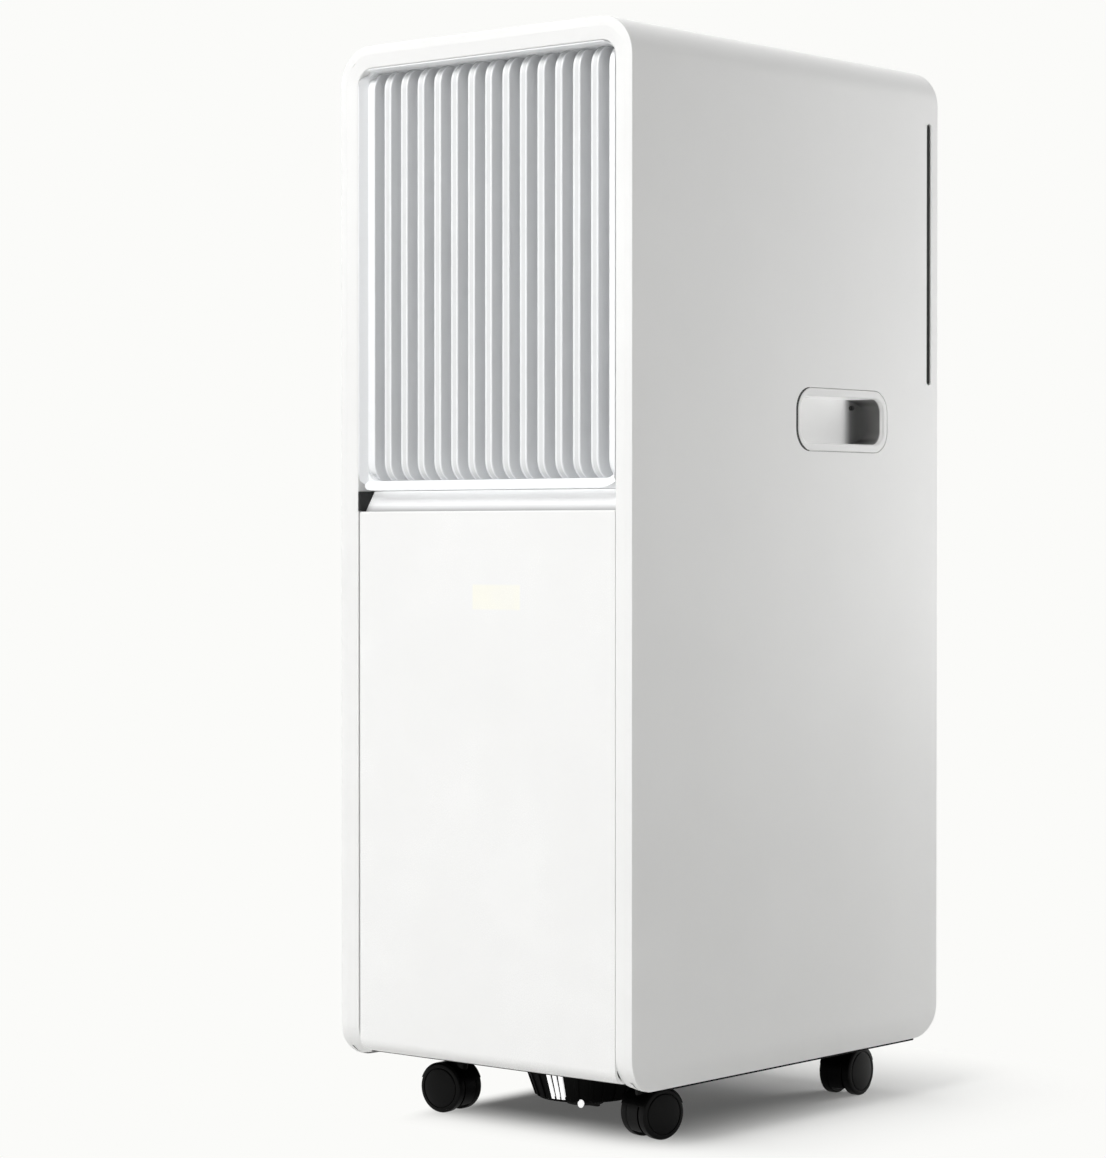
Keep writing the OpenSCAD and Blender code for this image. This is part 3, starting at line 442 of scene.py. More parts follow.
# the rear end of a hand pocket is painted dark, painted shade that fades into the white moulding and is lighter towards
# the mouth;
# the deep white part is painted whiter, and a weak light of its own, painted light which rises and fades along Y, keeps
# it bright
gripLook = {
    "fade": (0.0900, 0.0975), "mouth": 0.1242, "lip": 0.0012, "inward": (0.1025, 0.1222), "inside": (0.955, 0.955, 0.95),
    # the two dark colours are the painted shade of the pocket's rear end
    "dark": (0.028, 0.028, 0.028), "paintedShadeMouth": (0.125, 0.125, 0.122),
    "glow": (0.04, 0.20), "glowRise": (0.0300, 0.0800), "glowFade": (0.0870, 0.1010),
}


def gripFinish():
    material, tree, shader, place, colour = plasticFinish("grip_white")
    at = apart(tree, place)
    mouth = gripLook["mouth"]
    deep = spread(tree, calc(tree, "ABSOLUTE", at["X"]), mouth - gripLook["lip"], mouth, 1.0, 0.0)
    rear = spread(tree, at["Y"], *gripLook["fade"], soft=True)
    outward = spread(tree, calc(tree, "ABSOLUTE", at["X"]), *gripLook["inward"], soft=True)
    # painted shade at the rear end, and the deep part painted whiter as painted light
    dark = tint(tree, outward, gripLook["dark"], gripLook["paintedShadeMouth"])
    white = tint(tree, deep, colour, gripLook["inside"])
    tree.links.new(tint(tree, calc(tree, "MULTIPLY", deep, rear), white, dark), shader["Base Color"])
    lit = calc(tree, "MULTIPLY", deep, spread(tree, at["Y"], *gripLook["glowFade"], 1.0, 0.0, soft=True))
    glow = spread(tree, at["Y"], *gripLook["glowRise"], *gripLook["glow"])
    tree.links.new(calc(tree, "MULTIPLY", lit, glow), shader["Emission Strength"])
    return material


# the finger recess is painted darker along its foot, painted shade, and has painted light from there up, an emission
# that is strongest just under the outlet's lip
slopeLook = {
    "foot": (0.36, 0.36, 0.365), "footRise": (0.4090, 0.4132),
    "glow": 0.27, "glowRise": (0.4125, 0.4160), "under": 0.18, "underRise": (0.4198, 0.4222),
}


def scoopFinish():
    material, tree, shader, place, colour = plasticFinish("scoop_grey")
    up = apart(tree, place)["Z"]
    whole = spread(tree, up, *slopeLook["footRise"])
    # painted shade along the foot, and painted light from an emission up the slope
    tree.links.new(tint(tree, whole, slopeLook["foot"], colour), shader["Base Color"])
    lit = spread(tree, up, *slopeLook["glowRise"], 0.0, slopeLook["glow"])
    under = spread(tree, up, *slopeLook["underRise"], 0.0, slopeLook["under"])
    tree.links.new(calc(tree, "ADD", lit, under), shader["Emission Strength"])
    return material


def inkFinish():
    material, tree, shader, place = newMaterial("iconInk")
    worn = noise(tree, place, 900.0, 2.0)
    tree.links.new(tint(tree, worn, (0.050, 0.052, 0.058), (0.070, 0.072, 0.078)), shader["Base Color"])
    tree.links.new(spread(tree, worn, 0.3, 0.7, 0.45, 0.6), shader["Roughness"])
    return material


# the pip glows: painted light that keeps it white in the shade under the body
def whitePipFinish():
    material, tree, shader, place = newMaterial("pipWhite")
    cloud = noise(tree, place, 700.0, 2.0)
    tree.links.new(tint(tree, cloud, (0.90, 0.90, 0.89), (0.82, 0.82, 0.81)), shader["Base Color"])
    tree.links.new(spread(tree, cloud, 0.3, 0.7, 0.25, 0.4), shader["Roughness"])
    shader["Emission Color"].default_value = (1, 1, 1, 1)
    shader["Emission Strength"].default_value = 0.8
    return material


finish = {
    "panel_white": panelFinish(), "foam_black": foamFinish(), "diffuser": diffuserFinish(),
    "board_green": boardFinish(), "coil_fin": coilFinish(), "filter_net": netFinish(),
    "compressor_black": compressorFinish(), "grip_white": gripFinish(), "scoop_grey": scoopFinish(),
    "ink": inkFinish(), "pip": whitePipFinish(),
}
finish.update({name: plasticFinish(name)[0] for name in plasticLooks if name not in finish})
finish.update({name: metalFinish(name) for name in metalLooks})
print("finishes:", len(finish))

# Modelling helpers

def cadMesh(node):
    # the node's shape as clean faces: loose triangles merged, flat ones joined
    bm = bmesh.new()
    bm.from_mesh(cad[node].data)
    bmesh.ops.remove_doubles(bm, verts=bm.verts, dist=0.000004)
    bmesh.ops.dissolve_limit(bm, angle_limit=math.radians(0.3), verts=bm.verts, edges=bm.edges)
    return bm


def roundEdges(bm, width, steps, sharper, where=None):
    limit = math.radians(sharper)
    edges = [e for e in bm.edges if len(e.link_faces) == 2 and e.is_convex and e.calc_face_angle(0) > limit
             and (where is None or where(e))]
    bmesh.ops.bevel(bm, geom=edges, offset=width, offset_type="OFFSET", segments=steps, profile=0.5,
                    affect="EDGES", clamp_overlap=False, loop_slide=True, material=-1)


def middle(edge):
    return (edge.verts[0].co + edge.verts[1].co) / 2


def turned(profile, steps):
    # a profile of (radius, height) pairs spun about Z
    bm = bmesh.new()
    points = [bm.verts.new((r, 0, h)) for r, h in profile]
    lines = [bm.edges.new(pair) for pair in zip(points, points[1:])]
    bmesh.ops.spin(bm, geom=points + lines, cent=(0, 0, 0), axis=(0, 0, 1), angle=math.tau, steps=steps, use_merge=True)
    bmesh.ops.remove_doubles(bm, verts=bm.verts, dist=0.000001)
    bmesh.ops.recalc_face_normals(bm, faces=bm.faces)
    return bm


def moved(bm, matrix):
    bmesh.ops.transform(bm, matrix=matrix, verts=bm.verts)
    return bm


def joined(parts):
    whole = bmesh.new()
    for bm in parts:
        bm.normal_update()
        step = bpy.data.meshes.new("step")
        bm.to_mesh(step)
        bm.free()
        whole.from_mesh(step)
        bpy.data.meshes.remove(step)
    return whole


def placePiece(name, bm, node, material=None, replaced=(), crease=38):
    # an edge is sharp from crease degrees on; keen adds the ones that set_sharp_from_angle misses
    mesh = bpy.data.meshes.new(name)
    bm.normal_update()
    keen = [len(edge.link_faces) == 2 and edge.calc_face_angle(0) > math.radians(crease) for edge in bm.edges]
    bm.to_mesh(mesh)
    bm.free()
    mesh.shade_smooth()
    mesh.set_sharp_from_angle(angle=math.radians(crease))
    for edge, sharp in zip(mesh.edges, keen):
        edge.use_edge_sharp = edge.use_edge_sharp or sharp
    mesh.materials.append(finish[material or slotOf[node]])
    piece = bpy.data.objects.new(name, mesh)
    scene.collection.objects.link(piece)
    even = piece.modifiers.new("evenShading", "WEIGHTED_NORMAL")
    even.keep_sharp = True
    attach(piece, bodyOf[node])
    if replaced:
        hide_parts(*replaced)
    return piece


# Cabinet

sleeveLook = {
    "rim": 0.5, "cutOut": 0.45, "handleEdge": 0.15, "topRadius": 26, "footRadius": 23,
    "turnHeight": 17, "turnIn": 2.6, "turnCuts": 7, "turnFrom": 115,
}
# the ranges in metres where the edges of its cut-outs lie
sleeveCuts = {
    "handle": {"y": (-0.002, 0.11), "z": (0.44, 0.51)},
    "slot": {"x": (0.12, 1), "y": (0.155, 0.165), "z": (0.49, 1)},
    "controls": {"x": (-0.075, 0.075), "y": (-0.12, -0.06), "z": (0.5, 1)},
}


def within(at, ranges):
    return all(start < getattr(at, axis) < stop for axis, (start, stop) in ranges.items())


def outlineDepth(at, high):
    # how far a point lies inside the cabinet's front outline
    across, up = high.x - abs(at.x), high.z - at.z
    corner = sleeveLook["topRadius"] * mm
    if across < corner and up < corner:
        return corner - math.hypot(corner - across, corner - up)
    return min(across, up)


def buildSleeve():
    bm = cadMesh("outer_sleeve")
    low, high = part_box("outer_sleeve")

    def onHandle(edge):
        return within(middle(edge), sleeveCuts["handle"])

    def onCutOut(edge):
        return any(within(middle(edge), ranges) for ranges in sleeveCuts.values())

    def onRim(edge):
        at = middle(edge)
        return at.y < low.y + 0.001 and outlineDepth(at, high) < 0.001

    roundEdges(bm, sleeveLook["handleEdge"] * mm, 1, 40, onHandle)
    roundEdges(bm, sleeveLook["cutOut"] * mm, 2, 40, lambda e: onCutOut(e) and not onHandle(e))
    roundEdges(bm, sleeveLook["rim"] * mm, 4, 40, onRim)
    roundEdges(bm, sleeveLook["rim"] * mm, 4, 60, lambda e: not onCutOut(e) and middle(e).y > 0.1)
    # the skirt's lower edge turns in a little
    reach = sleeveLook["turnHeight"] * mm
    for i in range(sleeveLook["turnCuts"]):
        cut = low.z + reach * (i + 1) / sleeveLook["turnCuts"]
        everything = bm.verts[:] + bm.edges[:] + bm.faces[:]
        bmesh.ops.bisect_plane(bm, geom=everything, plane_co=(0, 0, cut), plane_no=(0, 0, 1))
    for vert in bm.verts:
        drop = (low.z + reach - vert.co.z) / reach
        if drop > 0 and abs(vert.co.x) > sleeveLook["turnFrom"] * mm:
            vert.co.x -= math.copysign(sleeveLook["turnIn"] * mm * drop * drop, vert.co.x)
    placePiece("sleeve", bm, "outer_sleeve", replaced=["outer_sleeve"], crease=50)


# outer and inner say how far the front face lies behind the sleeve's rim at its two edges
frameLook = {
    "outer": 0.03, "inner": 1.5, "setBack": 0.6, "band": 7.5, "skirtLow": 41.0, "edge": 0.7, "rightEdge": 0.25,
    "corner": 19.6, "meet": 0.42,
}


def buildFrontFrame():
    bm = cadMesh("front_frame")
    low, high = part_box("front_frame")
    face = [f for f in bm.faces if f.normal.y < -0.99 and f.calc_center_median().y < low.y + 0.001]
    bmesh.ops.triangulate(bm, faces=face, ngon_method="BEAUTY")
    # the front face, with the curve at its foot, slopes back from its outer edge to its inner one
    front, foot, band = low.y - frameLook["setBack"] * mm, sleeveLook["footRadius"] * mm, frameLook["band"] * mm
    hub = Vector((front + foot, frameLook["skirtLow"] * mm + foot))
    for vert in bm.verts:
        inside = abs(vert.co.x) < high.x - band and vert.co.z < high.z - band
        deep = frameLook["inner" if inside else "outer"] * mm
        turn = vert.co.yz - hub
        if turn.y < 0.0001 and abs(turn.length - foot + frameLook["setBack"] * mm) < 0.0002:
            vert.co.yz = hub + turn.normalized() * (foot - deep)
        elif vert.co.y < low.y + 0.0005:
            vert.co.y = front + deep
    # its outer wall meets the sleeve's rim without a gap
    corner, meet = frameLook["corner"] * mm, frameLook["meet"] * mm
    for vert in bm.verts:
        across, up = high.x - abs(vert.co.x), high.z - vert.co.z
        turn = Vector((corner - across, corner - up))
        if across < corner and up < corner and abs(turn.length - corner) < 0.0002:
            vert.co.x += math.copysign(turn.x, vert.co.x) / turn.length * meet
            vert.co.z += turn.y / turn.length * meet
        elif across < 0.0002:
            vert.co.x += math.copysign(meet, vert.co.x)
        elif up < 0.0002:
            vert.co.z += meet
    inner = lambda e: max(abs(middle(e).x) - high.x, middle(e).z - high.z) < -0.005
    onRight = lambda e: middle(e).x > high.x - 0.009
    roundEdges(bm, frameLook["rightEdge"] * mm, 2, 40, lambda e: inner(e) and onRight(e))
    roundEdges(bm, frameLook["edge"] * mm, 3, 40, lambda e: inner(e) and not onRight(e))
    placePiece("frontFrame", bm, "front_frame", replaced=["front_frame"], crease=50)


# back and grooveBack: how deep behind its front the fins' edges and fronts lie; surround: margin at each side
grilleLook = {
    "finEdge": 0.8, "rimEdge": 0.8, "grooveSide": 0.7, "grooveDepth": 0.35, "finWidth": 4.8, "surround": 6.2,
    "back": (3.0, 22.0), "grooveBack": (3.5, 20.0),
}


def faceWidth(face):
    spots = [v.co.x for v in face.verts]
    return max(spots) - min(spots)


def buildGrille():
    bm = cadMesh("outlet_grille")
    low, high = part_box("outlet_grille")

    def behind(at, reach):
        return reach[0] * mm < at.y - low.y < reach[1] * mm

    def finEdge(edge):
        at = middle(edge)
        side = any(abs(f.normal.x) > 0.99 for f in edge.link_faces)
        front = any(abs(f.normal.x) < 0.01 for f in edge.link_faces)
        clear = abs(at.x) < high.x - grilleLook["surround"] * mm
        return side and front and clear and behind(at, grilleLook["back"])

    roundEdges(bm, grilleLook["finEdge"] * mm, 3, 50, finEdge)
    # a shallow groove runs up the middle of each fin's front; its faces are painted darker, painted shade in the groove
    fronts = [f for f in bm.faces if abs(f.normal.x) < 0.01 and f.normal.y < -0.25
              and faceWidth(f) < grilleLook["finWidth"] * mm
              and behind(f.calc_center_median(), grilleLook["grooveBack"])]
    bmesh.ops.inset_region(bm, faces=fronts, thickness=grilleLook["grooveSide"] * mm,
                           depth=-grilleLook["grooveDepth"] * mm, use_even_offset=True, use_boundary=True)
    for face in fronts:
        face.material_index = 1
    roundEdges(bm, grilleLook["rimEdge"] * mm, 3, 20, lambda e: middle(e).y < low.y + 0.0005)
    piece = placePiece("outletGrille", bm, "outlet_grille", replaced=["outlet_grille"])
    piece.data.materials.append(finish["fin_matte"])


panelLook = {"edge": 1.0, "rightEdge": 0.25, "reach": 1.25}


def buildFrontPanel():
    bm = cadMesh("front_panel")
    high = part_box("front_panel")[1]
    # closed tight against the frame on the right, with the larger gap on the left
    for vert in bm.verts:
        if vert.co.x > high.x - 0.0005:
            vert.co.x += panelLook["reach"] * mm
    onRight = lambda e: middle(e).x > high.x
    roundEdges(bm, panelLook["rightEdge"] * mm, 2, 50, onRight)
    roundEdges(bm, panelLook["edge"] * mm, 4, 50, lambda e: not onRight(e))
    placePiece("lowerPanel", bm, "front_panel", replaced=["front_panel"])


# Hand pockets

# the ring's outline is a rounded oblong: middle and half are its Y and Z
pocketLook = {
    "middle": (56.0, 470.8), "half": (52.8, 21.0), "corner": 15.0, "ring": 5.4, "roll": 1.0, "mouth": 1.8,
    # the last four place the dark strip, painted shade in the gap at the ring's front end
    "meet": 0.3, "shadeDepth": 0.3, "sealOut": 0.3, "sealIn": 2.6, "shadeSteps": 24,
}


def ringStraights():
    # half the length of the outline's straight stretches along Y and Z
    return [(half - pocketLook["corner"]) * mm for half in pocketLook["half"]]


def ringDepth(at):
    # how far a point lies inside the ring's outline
    beside = [abs(spot - centre * mm) - reach
              for spot, centre, reach in zip(at.yz, pocketLook["middle"], ringStraights())]
    outside = Vector([max(0.0, distance) for distance in beside]).length + min(0.0, max(beside))
    return pocketLook["corner"] * mm - outside


def ringOutward(at):
    # the direction away from the ring's outline at a point on it
    away = at.yz - Vector(pocketLook["middle"]) * mm
    along, up = ringStraights()
    if abs(away.x) < along + 0.0001:
        return Vector((0, 0, math.copysign(1, away.y)))
    corner = Vector((math.copysign(along, away.x), math.copysign(up, away.y)))
    return Vector((0, *(away - corner).normalized()))


def buildPocket(node, name, side):
    bm = cadMesh(node)
    low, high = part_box(node)
    surface = high.x if side > 0 else low.x
    # the ring's outline closes up to the cut-out except at its front end
    for vert in bm.verts:
        if ringDepth(vert.co) < 0.0006 and abs(vert.co.x - surface) < 0.003 and vert.co.y > low.y + 0.004:
            vert.co += ringOutward(vert.co) * pocketLook["meet"] * mm
    onFace = lambda e: abs(middle(e).x - surface) < 0.00005
    atMouth = lambda e: onFace(e) and ringDepth(middle(e)) > (pocketLook["ring"] - 1) * mm
    roundEdges(bm, pocketLook["mouth"] * mm, 6, 40, atMouth)
    roundEdges(bm, pocketLook["roll"] * mm, 4, 40, onFace)
    placePiece(name, bm, node, material="grip_white", replaced=[node])
    # the dark strip at the ring's front end is painted shade in the gap
    placePiece(name + "Seal", gapShadeStrip(surface, side), node, material="rubber_black")


def gapShadeStrip(surface, side):
    # a dark strip, painted shade, in the gap round the ring's front end, between an outer and an inner outline
    strip = bmesh.new()
    corner, half = pocketLook["corner"], pocketLook["shadeSteps"] // 2
    rise = pocketLook["half"][1] - corner
    outlines = []
    for radius in (corner + pocketLook["sealOut"], corner - pocketLook["sealIn"]):
        outline = []
        for i in range(-half, half + 1):
            turn = math.pi + math.pi / 2 * i / half
            y = pocketLook["middle"][0] - pocketLook["half"][0] + corner + radius * math.cos(turn)
            z = pocketLook["middle"][1] + radius * math.sin(turn) + (-rise if i > 0 else rise if i < 0 else 0)
            outline.append(strip.verts.new((surface - side * pocketLook["shadeDepth"] * mm, y * mm, z * mm)))
        outlines.append(outline)
    outer, inner = outlines
    for i in range(2 * half):
        loop = [outer[i], outer[i + 1], inner[i + 1], inner[i]]
        strip.faces.new(loop[::-1] if side > 0 else loop)
    return strip


# Top controls

# flange is how far below a key's top its flange lies; shoulder is how far in and down its rounded edge runs
controlLook = {
    "edge": 0.6, "cap": 8.7, "dish": 0.5, "stem": 2.0, "brim": 1.6, "flange": (8.6, 6.5),
    "shoulder": ((0, 0.7), (0.2, 0.3), (0.6, 0), (1.2, 0.05)),
    "iconWidth": 0.9, "iconLift": 0.17, "iconThick": 0.08,
}
iconLook = {
    "ring": 3.1, "bar": (0.9, 3.7), "spoke": 3.4, "blade": (1.75, 0.95), "bladeAt": (1.9, 0.5), "hub": 0.55, "arrow": 3.0,
}


def stroke(bm, start, end, width, z):
    a, b = Vector((*start, 0)), Vector((*end, 0))
    turn = (b - a).to_track_quat("X", "Z").to_matrix().to_4x4()
    size = Matrix.Diagonal(((b - a).length + width, width, controlLook["iconThick"] * mm, 1))
    mid = (a + b) / 2
    bmesh.ops.create_cube(bm, size=1, matrix=Matrix.Translation((mid.x, mid.y, z)) @ turn @ size)


def arcStroke(bm, radius, width, z, start, sweep):
    made = bmesh.ops.create_grid(bm, x_segments=1, y_segments=1, size=0.5,
        matrix=Matrix.Rotation(start, 4, "Z") @ Matrix.Translation((radius, 0, z)) @ Matrix.Rotation(math.pi / 2, 4, "X")
        @ Matrix.Diagonal((width, controlLook["iconThick"] * mm, 1, 1)))
    faces = list({f for v in made["verts"] for f in v.link_faces})
    bmesh.ops.spin(bm, geom=made["verts"] + faces, cent=(0, 0, z), axis=(0, 0, 1), angle=sweep, steps=int(sweep * 7))


def buildIcon(kind, width, z):
    bm = bmesh.new()
    if kind == "power":
        arcStroke(bm, iconLook["ring"] * mm, width, z, math.radians(125), math.radians(290))
        foot, tip = iconLook["bar"]
        stroke(bm, (0, foot * mm), (0, tip * mm), width, z)
    elif kind == "mode":
        for i in range(3):
            turn = math.radians(60 * i + 30)
            tip = Vector((math.cos(turn), math.sin(turn))) * iconLook["spoke"] * mm
            stroke(bm, -tip, tip, width * 0.8, z)
    elif kind == "fan":
        x, y = iconLook["bladeAt"]
        length, breadth = iconLook["blade"]
        for i in range(3):
            blade = Matrix.Rotation(math.radians(120 * i), 4, "Z") @ Matrix.Translation((x * mm, y * mm, z))
            bmesh.ops.create_circle(bm, cap_ends=True, segments=20, radius=1,
                matrix=blade @ Matrix.Rotation(0.5, 4, "Z") @ Matrix.Diagonal((length * mm, breadth * mm, 1, 1)))
        bmesh.ops.create_circle(bm, cap_ends=True, segments=16, radius=iconLook["hub"] * mm,
            matrix=Matrix.Translation((0, 0, z)))
    else:
        turn = math.radians(90 if kind == "up" else -90)
        bmesh.ops.create_circle(bm, cap_ends=True, segments=3, radius=iconLook["arrow"] * mm,
            matrix=Matrix.Translation((0, 0, z)) @ Matrix.Rotation(turn, 4, "Z"))
    return bm


def keyProfile(base, top):
    cap, stem, brim, dish = (controlLook[label] * mm for label in ("cap", "stem", "brim", "dish"))
    under, over = (top - drop * mm for drop in controlLook["flange"])
    shoulder = [(cap - inward * mm, top - drop * mm) for inward, drop in controlLook["shoulder"]]
    return [(0, base), (stem, base), (stem, under), (cap + brim, under), (cap + brim, over), (cap, over),
            *shoulder, (cap * 0.6, top - dish * 0.75), (0, top - dish)]


def buildControls():
    bm = cadMesh("control_panel")
    roundEdges(bm, controlLook["edge"] * mm, 3, 40, lambda e: middle(e).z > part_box("control_panel")[1].z - 0.0001)
    placePiece("controlStrip", bm, "control_panel", replaced=["control_panel"])
    for node, kind in (("power_button", "power"), ("mode_button", "mode"), ("fan_button", "fan"),
                       ("up_button", "up"), ("down_button", "down")):
        low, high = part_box(node)
        centre = (low + high) / 2
        lay = Matrix.Translation((centre.x, centre.y, 0))
        placePiece(kind + "Key", moved(turned(keyProfile(low.z, high.z), 56), lay), node, replaced=[node])
        height = high.z + (controlLook["iconLift"] - controlLook["dish"]) * mm
        icon = buildIcon(kind, controlLook["iconWidth"] * mm, height)
        placePiece(kind + "Icon", moved(icon, lay), node, material="ink")


# Casters

wheelLook = {"radius": 16.8, "web": 5.9, "width": 8.0, "pin": 1.98, "steps": 72}
# each of the hood's round walls is drawn in from its CAD radius to one that hugs the wheels
hoodLook = {"edge": 0.25, "radii": ((18.6, 17.4), (17.4, 17.0), (17.7, 17.0))}


def wheelProfile():
    r, w = wheelLook["radius"], wheelLook["width"]
    pairs = [(0, 0.3), (r - 2.2, 0.3), (r - 1.0, 0.05), (r - 0.3, 0.4), (r, 1.2), (r, w - 2.6), (r - 0.3, w - 1.9),
             (r - 1.0, w - 1.45), (r - 2.6, w - 1.2), (r - 2.95, w - 1.35), (r - 3.2, w - 1.9), (r - 3.5, w - 1.9),
             (r - 3.75, w - 1.3), (r - 4.2, w - 1.0), (r - 8.0, w - 0.45), (r - 12.0, w - 0.12), (0, w)]
    return [(radius * mm, (wheelLook["web"] + height) * mm) for radius, height in pairs]


def buildCasters():
    for corner in ("fl", "fr", "rl", "rr"):
        wheels = "caster_wheels_" + corner
        centre = sum(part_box(wheels), Vector()) / 2
        axle = Vector(jointOf["roll_" + corner]["axis"]).normalized()
        lay = Matrix.Translation(centre) @ axle.to_track_quat("Z", "Y").to_matrix().to_4x4()
        near = turned(wheelProfile(), wheelLook["steps"])
        far = moved(turned(wheelProfile(), wheelLook["steps"]), Matrix.Rotation(math.pi, 4, "X"))
        reach, pinRadius = (wheelLook["web"] + 1) * mm, wheelLook["pin"] * mm
        pin = turned([(0, -reach), (pinRadius, -reach), (pinRadius, reach), (0, reach)], 24)
        placePiece("wheels" + corner.upper(), moved(joined([near, far, pin]), lay), wheels, replaced=[wheels])
        hood = "caster_hood_" + corner
        bm = cadMesh(hood)
        for vert in bm.verts:
            away = vert.co - centre
            along = axle * away.dot(axle)
            radius = (away - along).length
            for drawn, snug in hoodLook["radii"]:
                if abs(radius - drawn * mm) < 0.00012:
                    vert.co = centre + along + (away - along).normalized() * snug * mm
                    break
        roundEdges(bm, hoodLook["edge"] * mm, 2, 50)
        placePiece("hood" + corner.upper(), bm, hood, replaced=[hood])


# Drain

pipLook = {"turn": -55.4, "height": 14.8, "radius": 2.1, "tall": 1.35, "proud": 0.8, "seat": 33.0}
# the cup widens from its foot: seat is its radius there, and flare how fast it grows with the height
stripLook = {
    "turns": (-90.0, -82.8, -76.3), "width": 2.5, "low": 16.8, "high": 40.4, "proud": 0.25, "deep": 1.0,
    "seat": 33.0, "foot": 16.5, "flare": 8.6 / 24.3,
}


def buildDrain():
    for node, name, edge in (
            ("drain_sump", "drainSump", 0.3), ("drain_cap", "drainCap", 0.5), ("rear_drain_plug", "rearPlug", 0.8)):
        bm = cadMesh(node)
        roundEdges(bm, edge * mm, 2, 50)
        placePiece(name, bm, node, replaced=[node])
    low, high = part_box("drain_cap")
    axis = Vector(((low.x + high.x) / 2, (low.y + high.y) / 2, 0))
    r, proud = pipLook["radius"], pipLook["proud"]
    profile = ((0, -2.5), (r, -2.5), (r, 0.2), (r - 0.3, proud * 0.8), (0, proud))
    dome = turned([(x * mm, z * mm) for x, z in profile], 28)
    stand = Matrix.Diagonal((1, 1, pipLook["tall"], 1)) @ Matrix.Rotation(math.pi / 2, 4, "Y")
    lay = Matrix.Rotation(math.radians(pipLook["turn"]), 4, "Z") @ Matrix.Translation((pipLook["seat"] * mm, 0, 0))
    at = Matrix.Translation(axis + Vector((0, 0, pipLook["height"] * mm)))
    placePiece("sumpPip", moved(dome, at @ lay @ stand), "drain_sump", material="pip")
    # the white net shows through the three slots as full strips, which glow with painted light
    strips = []
    for turn in stripLook["turns"]:
        strip = bmesh.new()
        for height in (stripLook["low"], stripLook["high"]):
            reach = stripLook["seat"] + (height - stripLook["foot"]) * stripLook["flare"]
            proud, deep = reach + stripLook["proud"], reach - stripLook["deep"]
            for out, side in ((proud, -1), (proud, 1), (deep, 1), (deep, -1)):
                strip.verts.new((out * mm, side * stripLook["width"] / 2 * mm, height * mm))
        bmesh.ops.convex_hull(strip, input=strip.verts[:])
        bmesh.ops.recalc_face_normals(strip, faces=strip.faces[:])
        strips.append(moved(strip, Matrix.Translation(axis) @ Matrix.Rotation(math.radians(turn), 4, "Z")))
    placePiece("slotNet", joined(strips), "drain_strainer", material="pip")


# Rear

screwLook = {
    "head": 3.6, "height": 1.75, "depth": 1.1, "cells": 12, "cross": 0.62, "dome": 0.9,
    "seat": 1.8, "across": 114, "inset": 3.6, "middle": 330,
}


def crossHead():
    # a square grid drawn round into a disc, its middle cross pushed in
    r, cells = screwLook["head"] * mm, screwLook["cells"]
    bm = bmesh.new()
    bmesh.ops.create_grid(bm, x_segments=cells, y_segments=cells, size=r)
    arm = r / cells * 1.2
    cross = [f for f in bm.faces if min(abs(f.calc_center_median().x), abs(f.calc_center_median().y)) < arm
             and f.calc_center_median().length < r * screwLook["cross"]]
    for vert in bm.verts:
        x, y = vert.co.x / r, vert.co.y / r
        vert.co.x, vert.co.y = x * math.sqrt(1 - y * y / 2) * r, y * math.sqrt(1 - x * x / 2) * r
        vert.co.z = screwLook["height"] * mm * math.sqrt(1 - (vert.co.xy.length / r) ** 2 * screwLook["dome"])
    bmesh.ops.inset_region(bm, faces=cross, thickness=0.00005, depth=0)
    down = bmesh.ops.extrude_face_region(bm, geom=cross)
    floor = [v for v in down["geom"] if isinstance(v, bmesh.types.BMVert)]
    bmesh.ops.translate(bm, vec=(0, 0, -screwLook["depth"] * mm), verts=floor)
    bmesh.ops.delete(bm, geom=cross, context="FACES_ONLY")
    rim = [e for e in bm.edges if e.is_boundary and e.verts[0].co.xy.length > r * 0.95]
    skirt = bmesh.ops.extrude_edge_only(bm, edges=rim)
    for v in skirt["geom"]:
        if isinstance(v, bmesh.types.BMVert):
            v.co.z = 0
    return bm


def buildScrews():
    low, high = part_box("casing_screws")
    face, inset = high.y - screwLook["seat"] * mm, screwLook["inset"] * mm
    heads = []
    for x in (-screwLook["across"] * mm, screwLook["across"] * mm):
        for z in (low.z + inset, screwLook["middle"] * mm, high.z - inset):
            # each head is driven to its own angle
            driven = math.radians(23 + 400 * (x + z))
            turn = Matrix.Rotation(math.radians(-90), 4, "X") @ Matrix.Rotation(driven, 4, "Z")
            heads.append(moved(crossHead(), Matrix.Translation((x, face, z)) @ turn))
    placePiece("rearScrews", joined(heads), "casing_screws", replaced=["casing_screws"], crease=30)


# Every other node: its CAD shape as clean, smooth-shaded faces with softened edges

otherPieces = {
    "grip_scoop": 0.5, "display_window": 0.4, "rear_panel": 0.6, "upper_intake_grille": 0.4,
    "lower_intake_grille": 0.4, "exhaust_collar": 0.5, "filter_frame": 0.35, "base_pan": 0.5,
    "cord_gland": 0.6, "caster_stems": 0.3, "compressor": 0.8, "compressor_feet": 0.6, "partition_shelf": 0.4,
    "air_duct": 0.4, "blower_motor": 0.6, "hot_air_scroll": 0.4, "condenser_motor": 0.6, "vane_link": 0.3,
    "swing_motor": 0.4, "electrical_box": 0.8, "run_capacitor": 0.4, "blower_wheel": 0, "condenser_wheel": 0,
    "swing_vane_1": 0, "swing_vane_2": 0, "swing_vane_3": 0, "swing_vane_4": 0, "refrigerant_pipes": 0,
    "evaporator": 0, "condenser": 0, "display_board": 0.15, "control_board": 0.15, "side_seals": 0.3,
    "drain_strainer": 0.2,
}


def pieceName(node):
    words = node.split("_")
    return words[0] + "".join(word.capitalize() for word in words[1:])


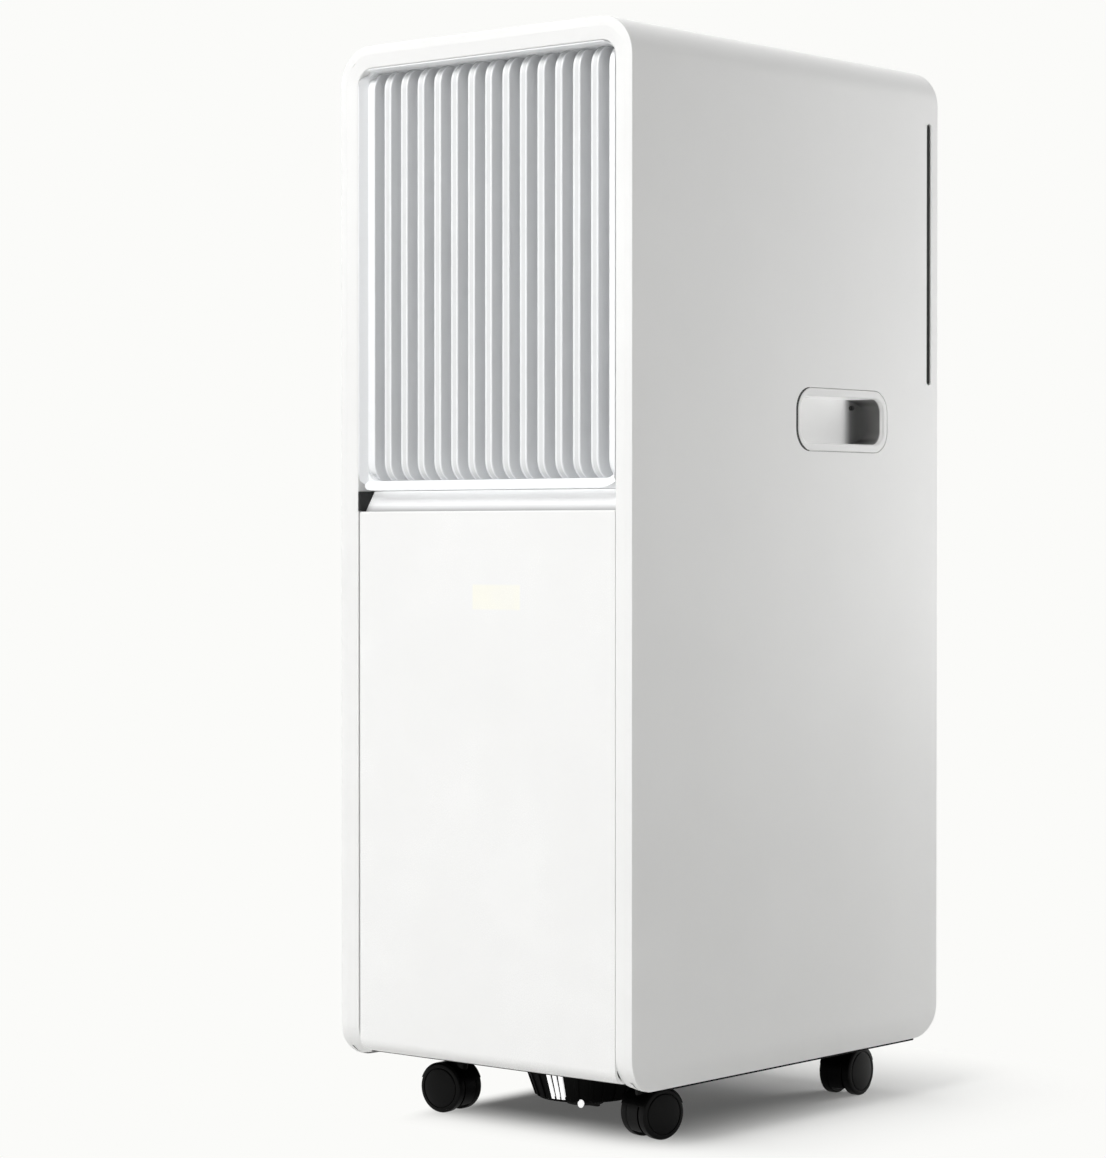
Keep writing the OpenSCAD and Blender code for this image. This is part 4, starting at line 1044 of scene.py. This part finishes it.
fitLook = {"scoopEdge": (108.5, 110.5), "reach": 2.1, "sealBack": 14, "railFoot": 39.6, "railFrom": 112, "railDrop": 0.9}


def refine(bm, node):
    # on the right the scoop reaches the frame and the seal sits behind it
    # the base rails just show under the skirt
    start, stop = fitLook["scoopEdge"]
    foot = fitLook["railFoot"] * mm
    for vert in bm.verts:
        if node == "grip_scoop" and start * mm < vert.co.x < stop * mm:
            vert.co.x += fitLook["reach"] * mm
        elif node == "side_seals" and vert.co.x > 0:
            vert.co.y += fitLook["sealBack"] * mm
        elif node == "base_pan" and abs(vert.co.z - foot) < 0.0001 and abs(vert.co.x) > fitLook["railFrom"] * mm:
            vert.co.z -= fitLook["railDrop"] * mm


def buildOthers():
    for node, edge in otherPieces.items():
        bm = cadMesh(node)
        refine(bm, node)
        if edge:
            roundEdges(bm, edge * mm, 2, 50)
        material = "vane_white" if node == "air_duct" else None
        placePiece(pieceName(node), bm, node, material=material, replaced=[node])
    # the thin net stays as its CAD sheet
    for socket in cad["filter_mesh"].material_slots:
        socket.link = "OBJECT"
        socket.material = finish["filter_net"]


# Floor

# the shadow fades out into the white sheet: from and to are distances along X and Y
floorLook = {
    "half": 9.0, "albedo": (0.80, 0.80, 0.79), "lift": 0.095,
    "fade": {"X": ((-0.080, -0.113), (0.040, 0.260)), "Y": ((-0.062, -0.168), (0.186, 0.336))},
}


def fadeMask(tree, where):
    spots = apart(tree, where)
    reach = []
    for axis, ends in floorLook["fade"].items():
        sides = [calc(tree, "MAXIMUM", calc(tree, "DIVIDE", calc(tree, "SUBTRACT", spots[axis], start), stop - start), 0.0)
                 for start, stop in ends]
        reach.append(calc(tree, "POWER", calc(tree, "MAXIMUM", *sides), 2.0))
    return spread(tree, calc(tree, "SQRT", calc(tree, "ADD", *reach)), 0.0, 1.0, soft=True)


def buildFloor():
    bm = bmesh.new()
    bmesh.ops.create_grid(bm, x_segments=2, y_segments=2, size=floorLook["half"])
    mesh = bpy.data.meshes.new("studioFloor")
    bm.to_mesh(mesh)
    bm.free()
    floor = bpy.data.objects.new("studioFloor", mesh)
    scene.collection.objects.link(floor)
    material = bpy.data.materials.new("studioFloor")
    material.use_nodes = True
    tree = material.node_tree
    tree.nodes.clear()
    where = tree.nodes.new("ShaderNodeTexCoord").outputs["Object"]
    paper = tree.nodes.new("ShaderNodeBsdfDiffuse")
    mottled = tint(tree, noise(tree, where, 3.0), tuple(c * 0.99 for c in floorLook["albedo"]), floorLook["albedo"])
    tree.links.new(mottled, paper.inputs["Color"])
    lift = tree.nodes.new("ShaderNodeEmission")
    lift.inputs["Color"].default_value = (*studioLook["backdrop"], 1)
    tree.links.new(calc(tree, "MULTIPLY", seenRays(tree), floorLook["lift"]), lift.inputs["Strength"])
    lit = tree.nodes.new("ShaderNodeAddShader")
    tree.links.new(paper.outputs[0], lit.inputs[0])
    tree.links.new(lift.outputs[0], lit.inputs[1])
    glow = tree.nodes.new("ShaderNodeEmission")
    glow.inputs["Color"].default_value = (*studioLook["backdrop"], 1)
    mix = tree.nodes.new("ShaderNodeMixShader")
    tree.links.new(calc(tree, "MULTIPLY", fadeMask(tree, where), seenRays(tree)), mix.inputs[0])
    tree.links.new(lit.outputs[0], mix.inputs[1])
    tree.links.new(glow.outputs[0], mix.inputs[2])
    out = tree.nodes.new("ShaderNodeOutputMaterial")
    tree.links.new(mix.outputs[0], out.inputs["Surface"])
    mesh.materials.append(material)


buildCamera()
buildWorld()
for lamp in studioLook["lamps"]:
    softBox(*lamp)
buildFloor()
print("studio ready")
buildSleeve()
buildFrontFrame()
buildGrille()
buildFrontPanel()
buildPocket("handle_cup_right", "rightPocket", 1)
buildPocket("handle_cup_left", "leftPocket", -1)
print("cabinet built")
buildControls()
print("controls built")
buildCasters()
buildDrain()
print("casters and drain built")
buildScrews()
buildOthers()
print("rear and inside built")

scene.view_settings.view_transform = "Standard"
print("scene ready")
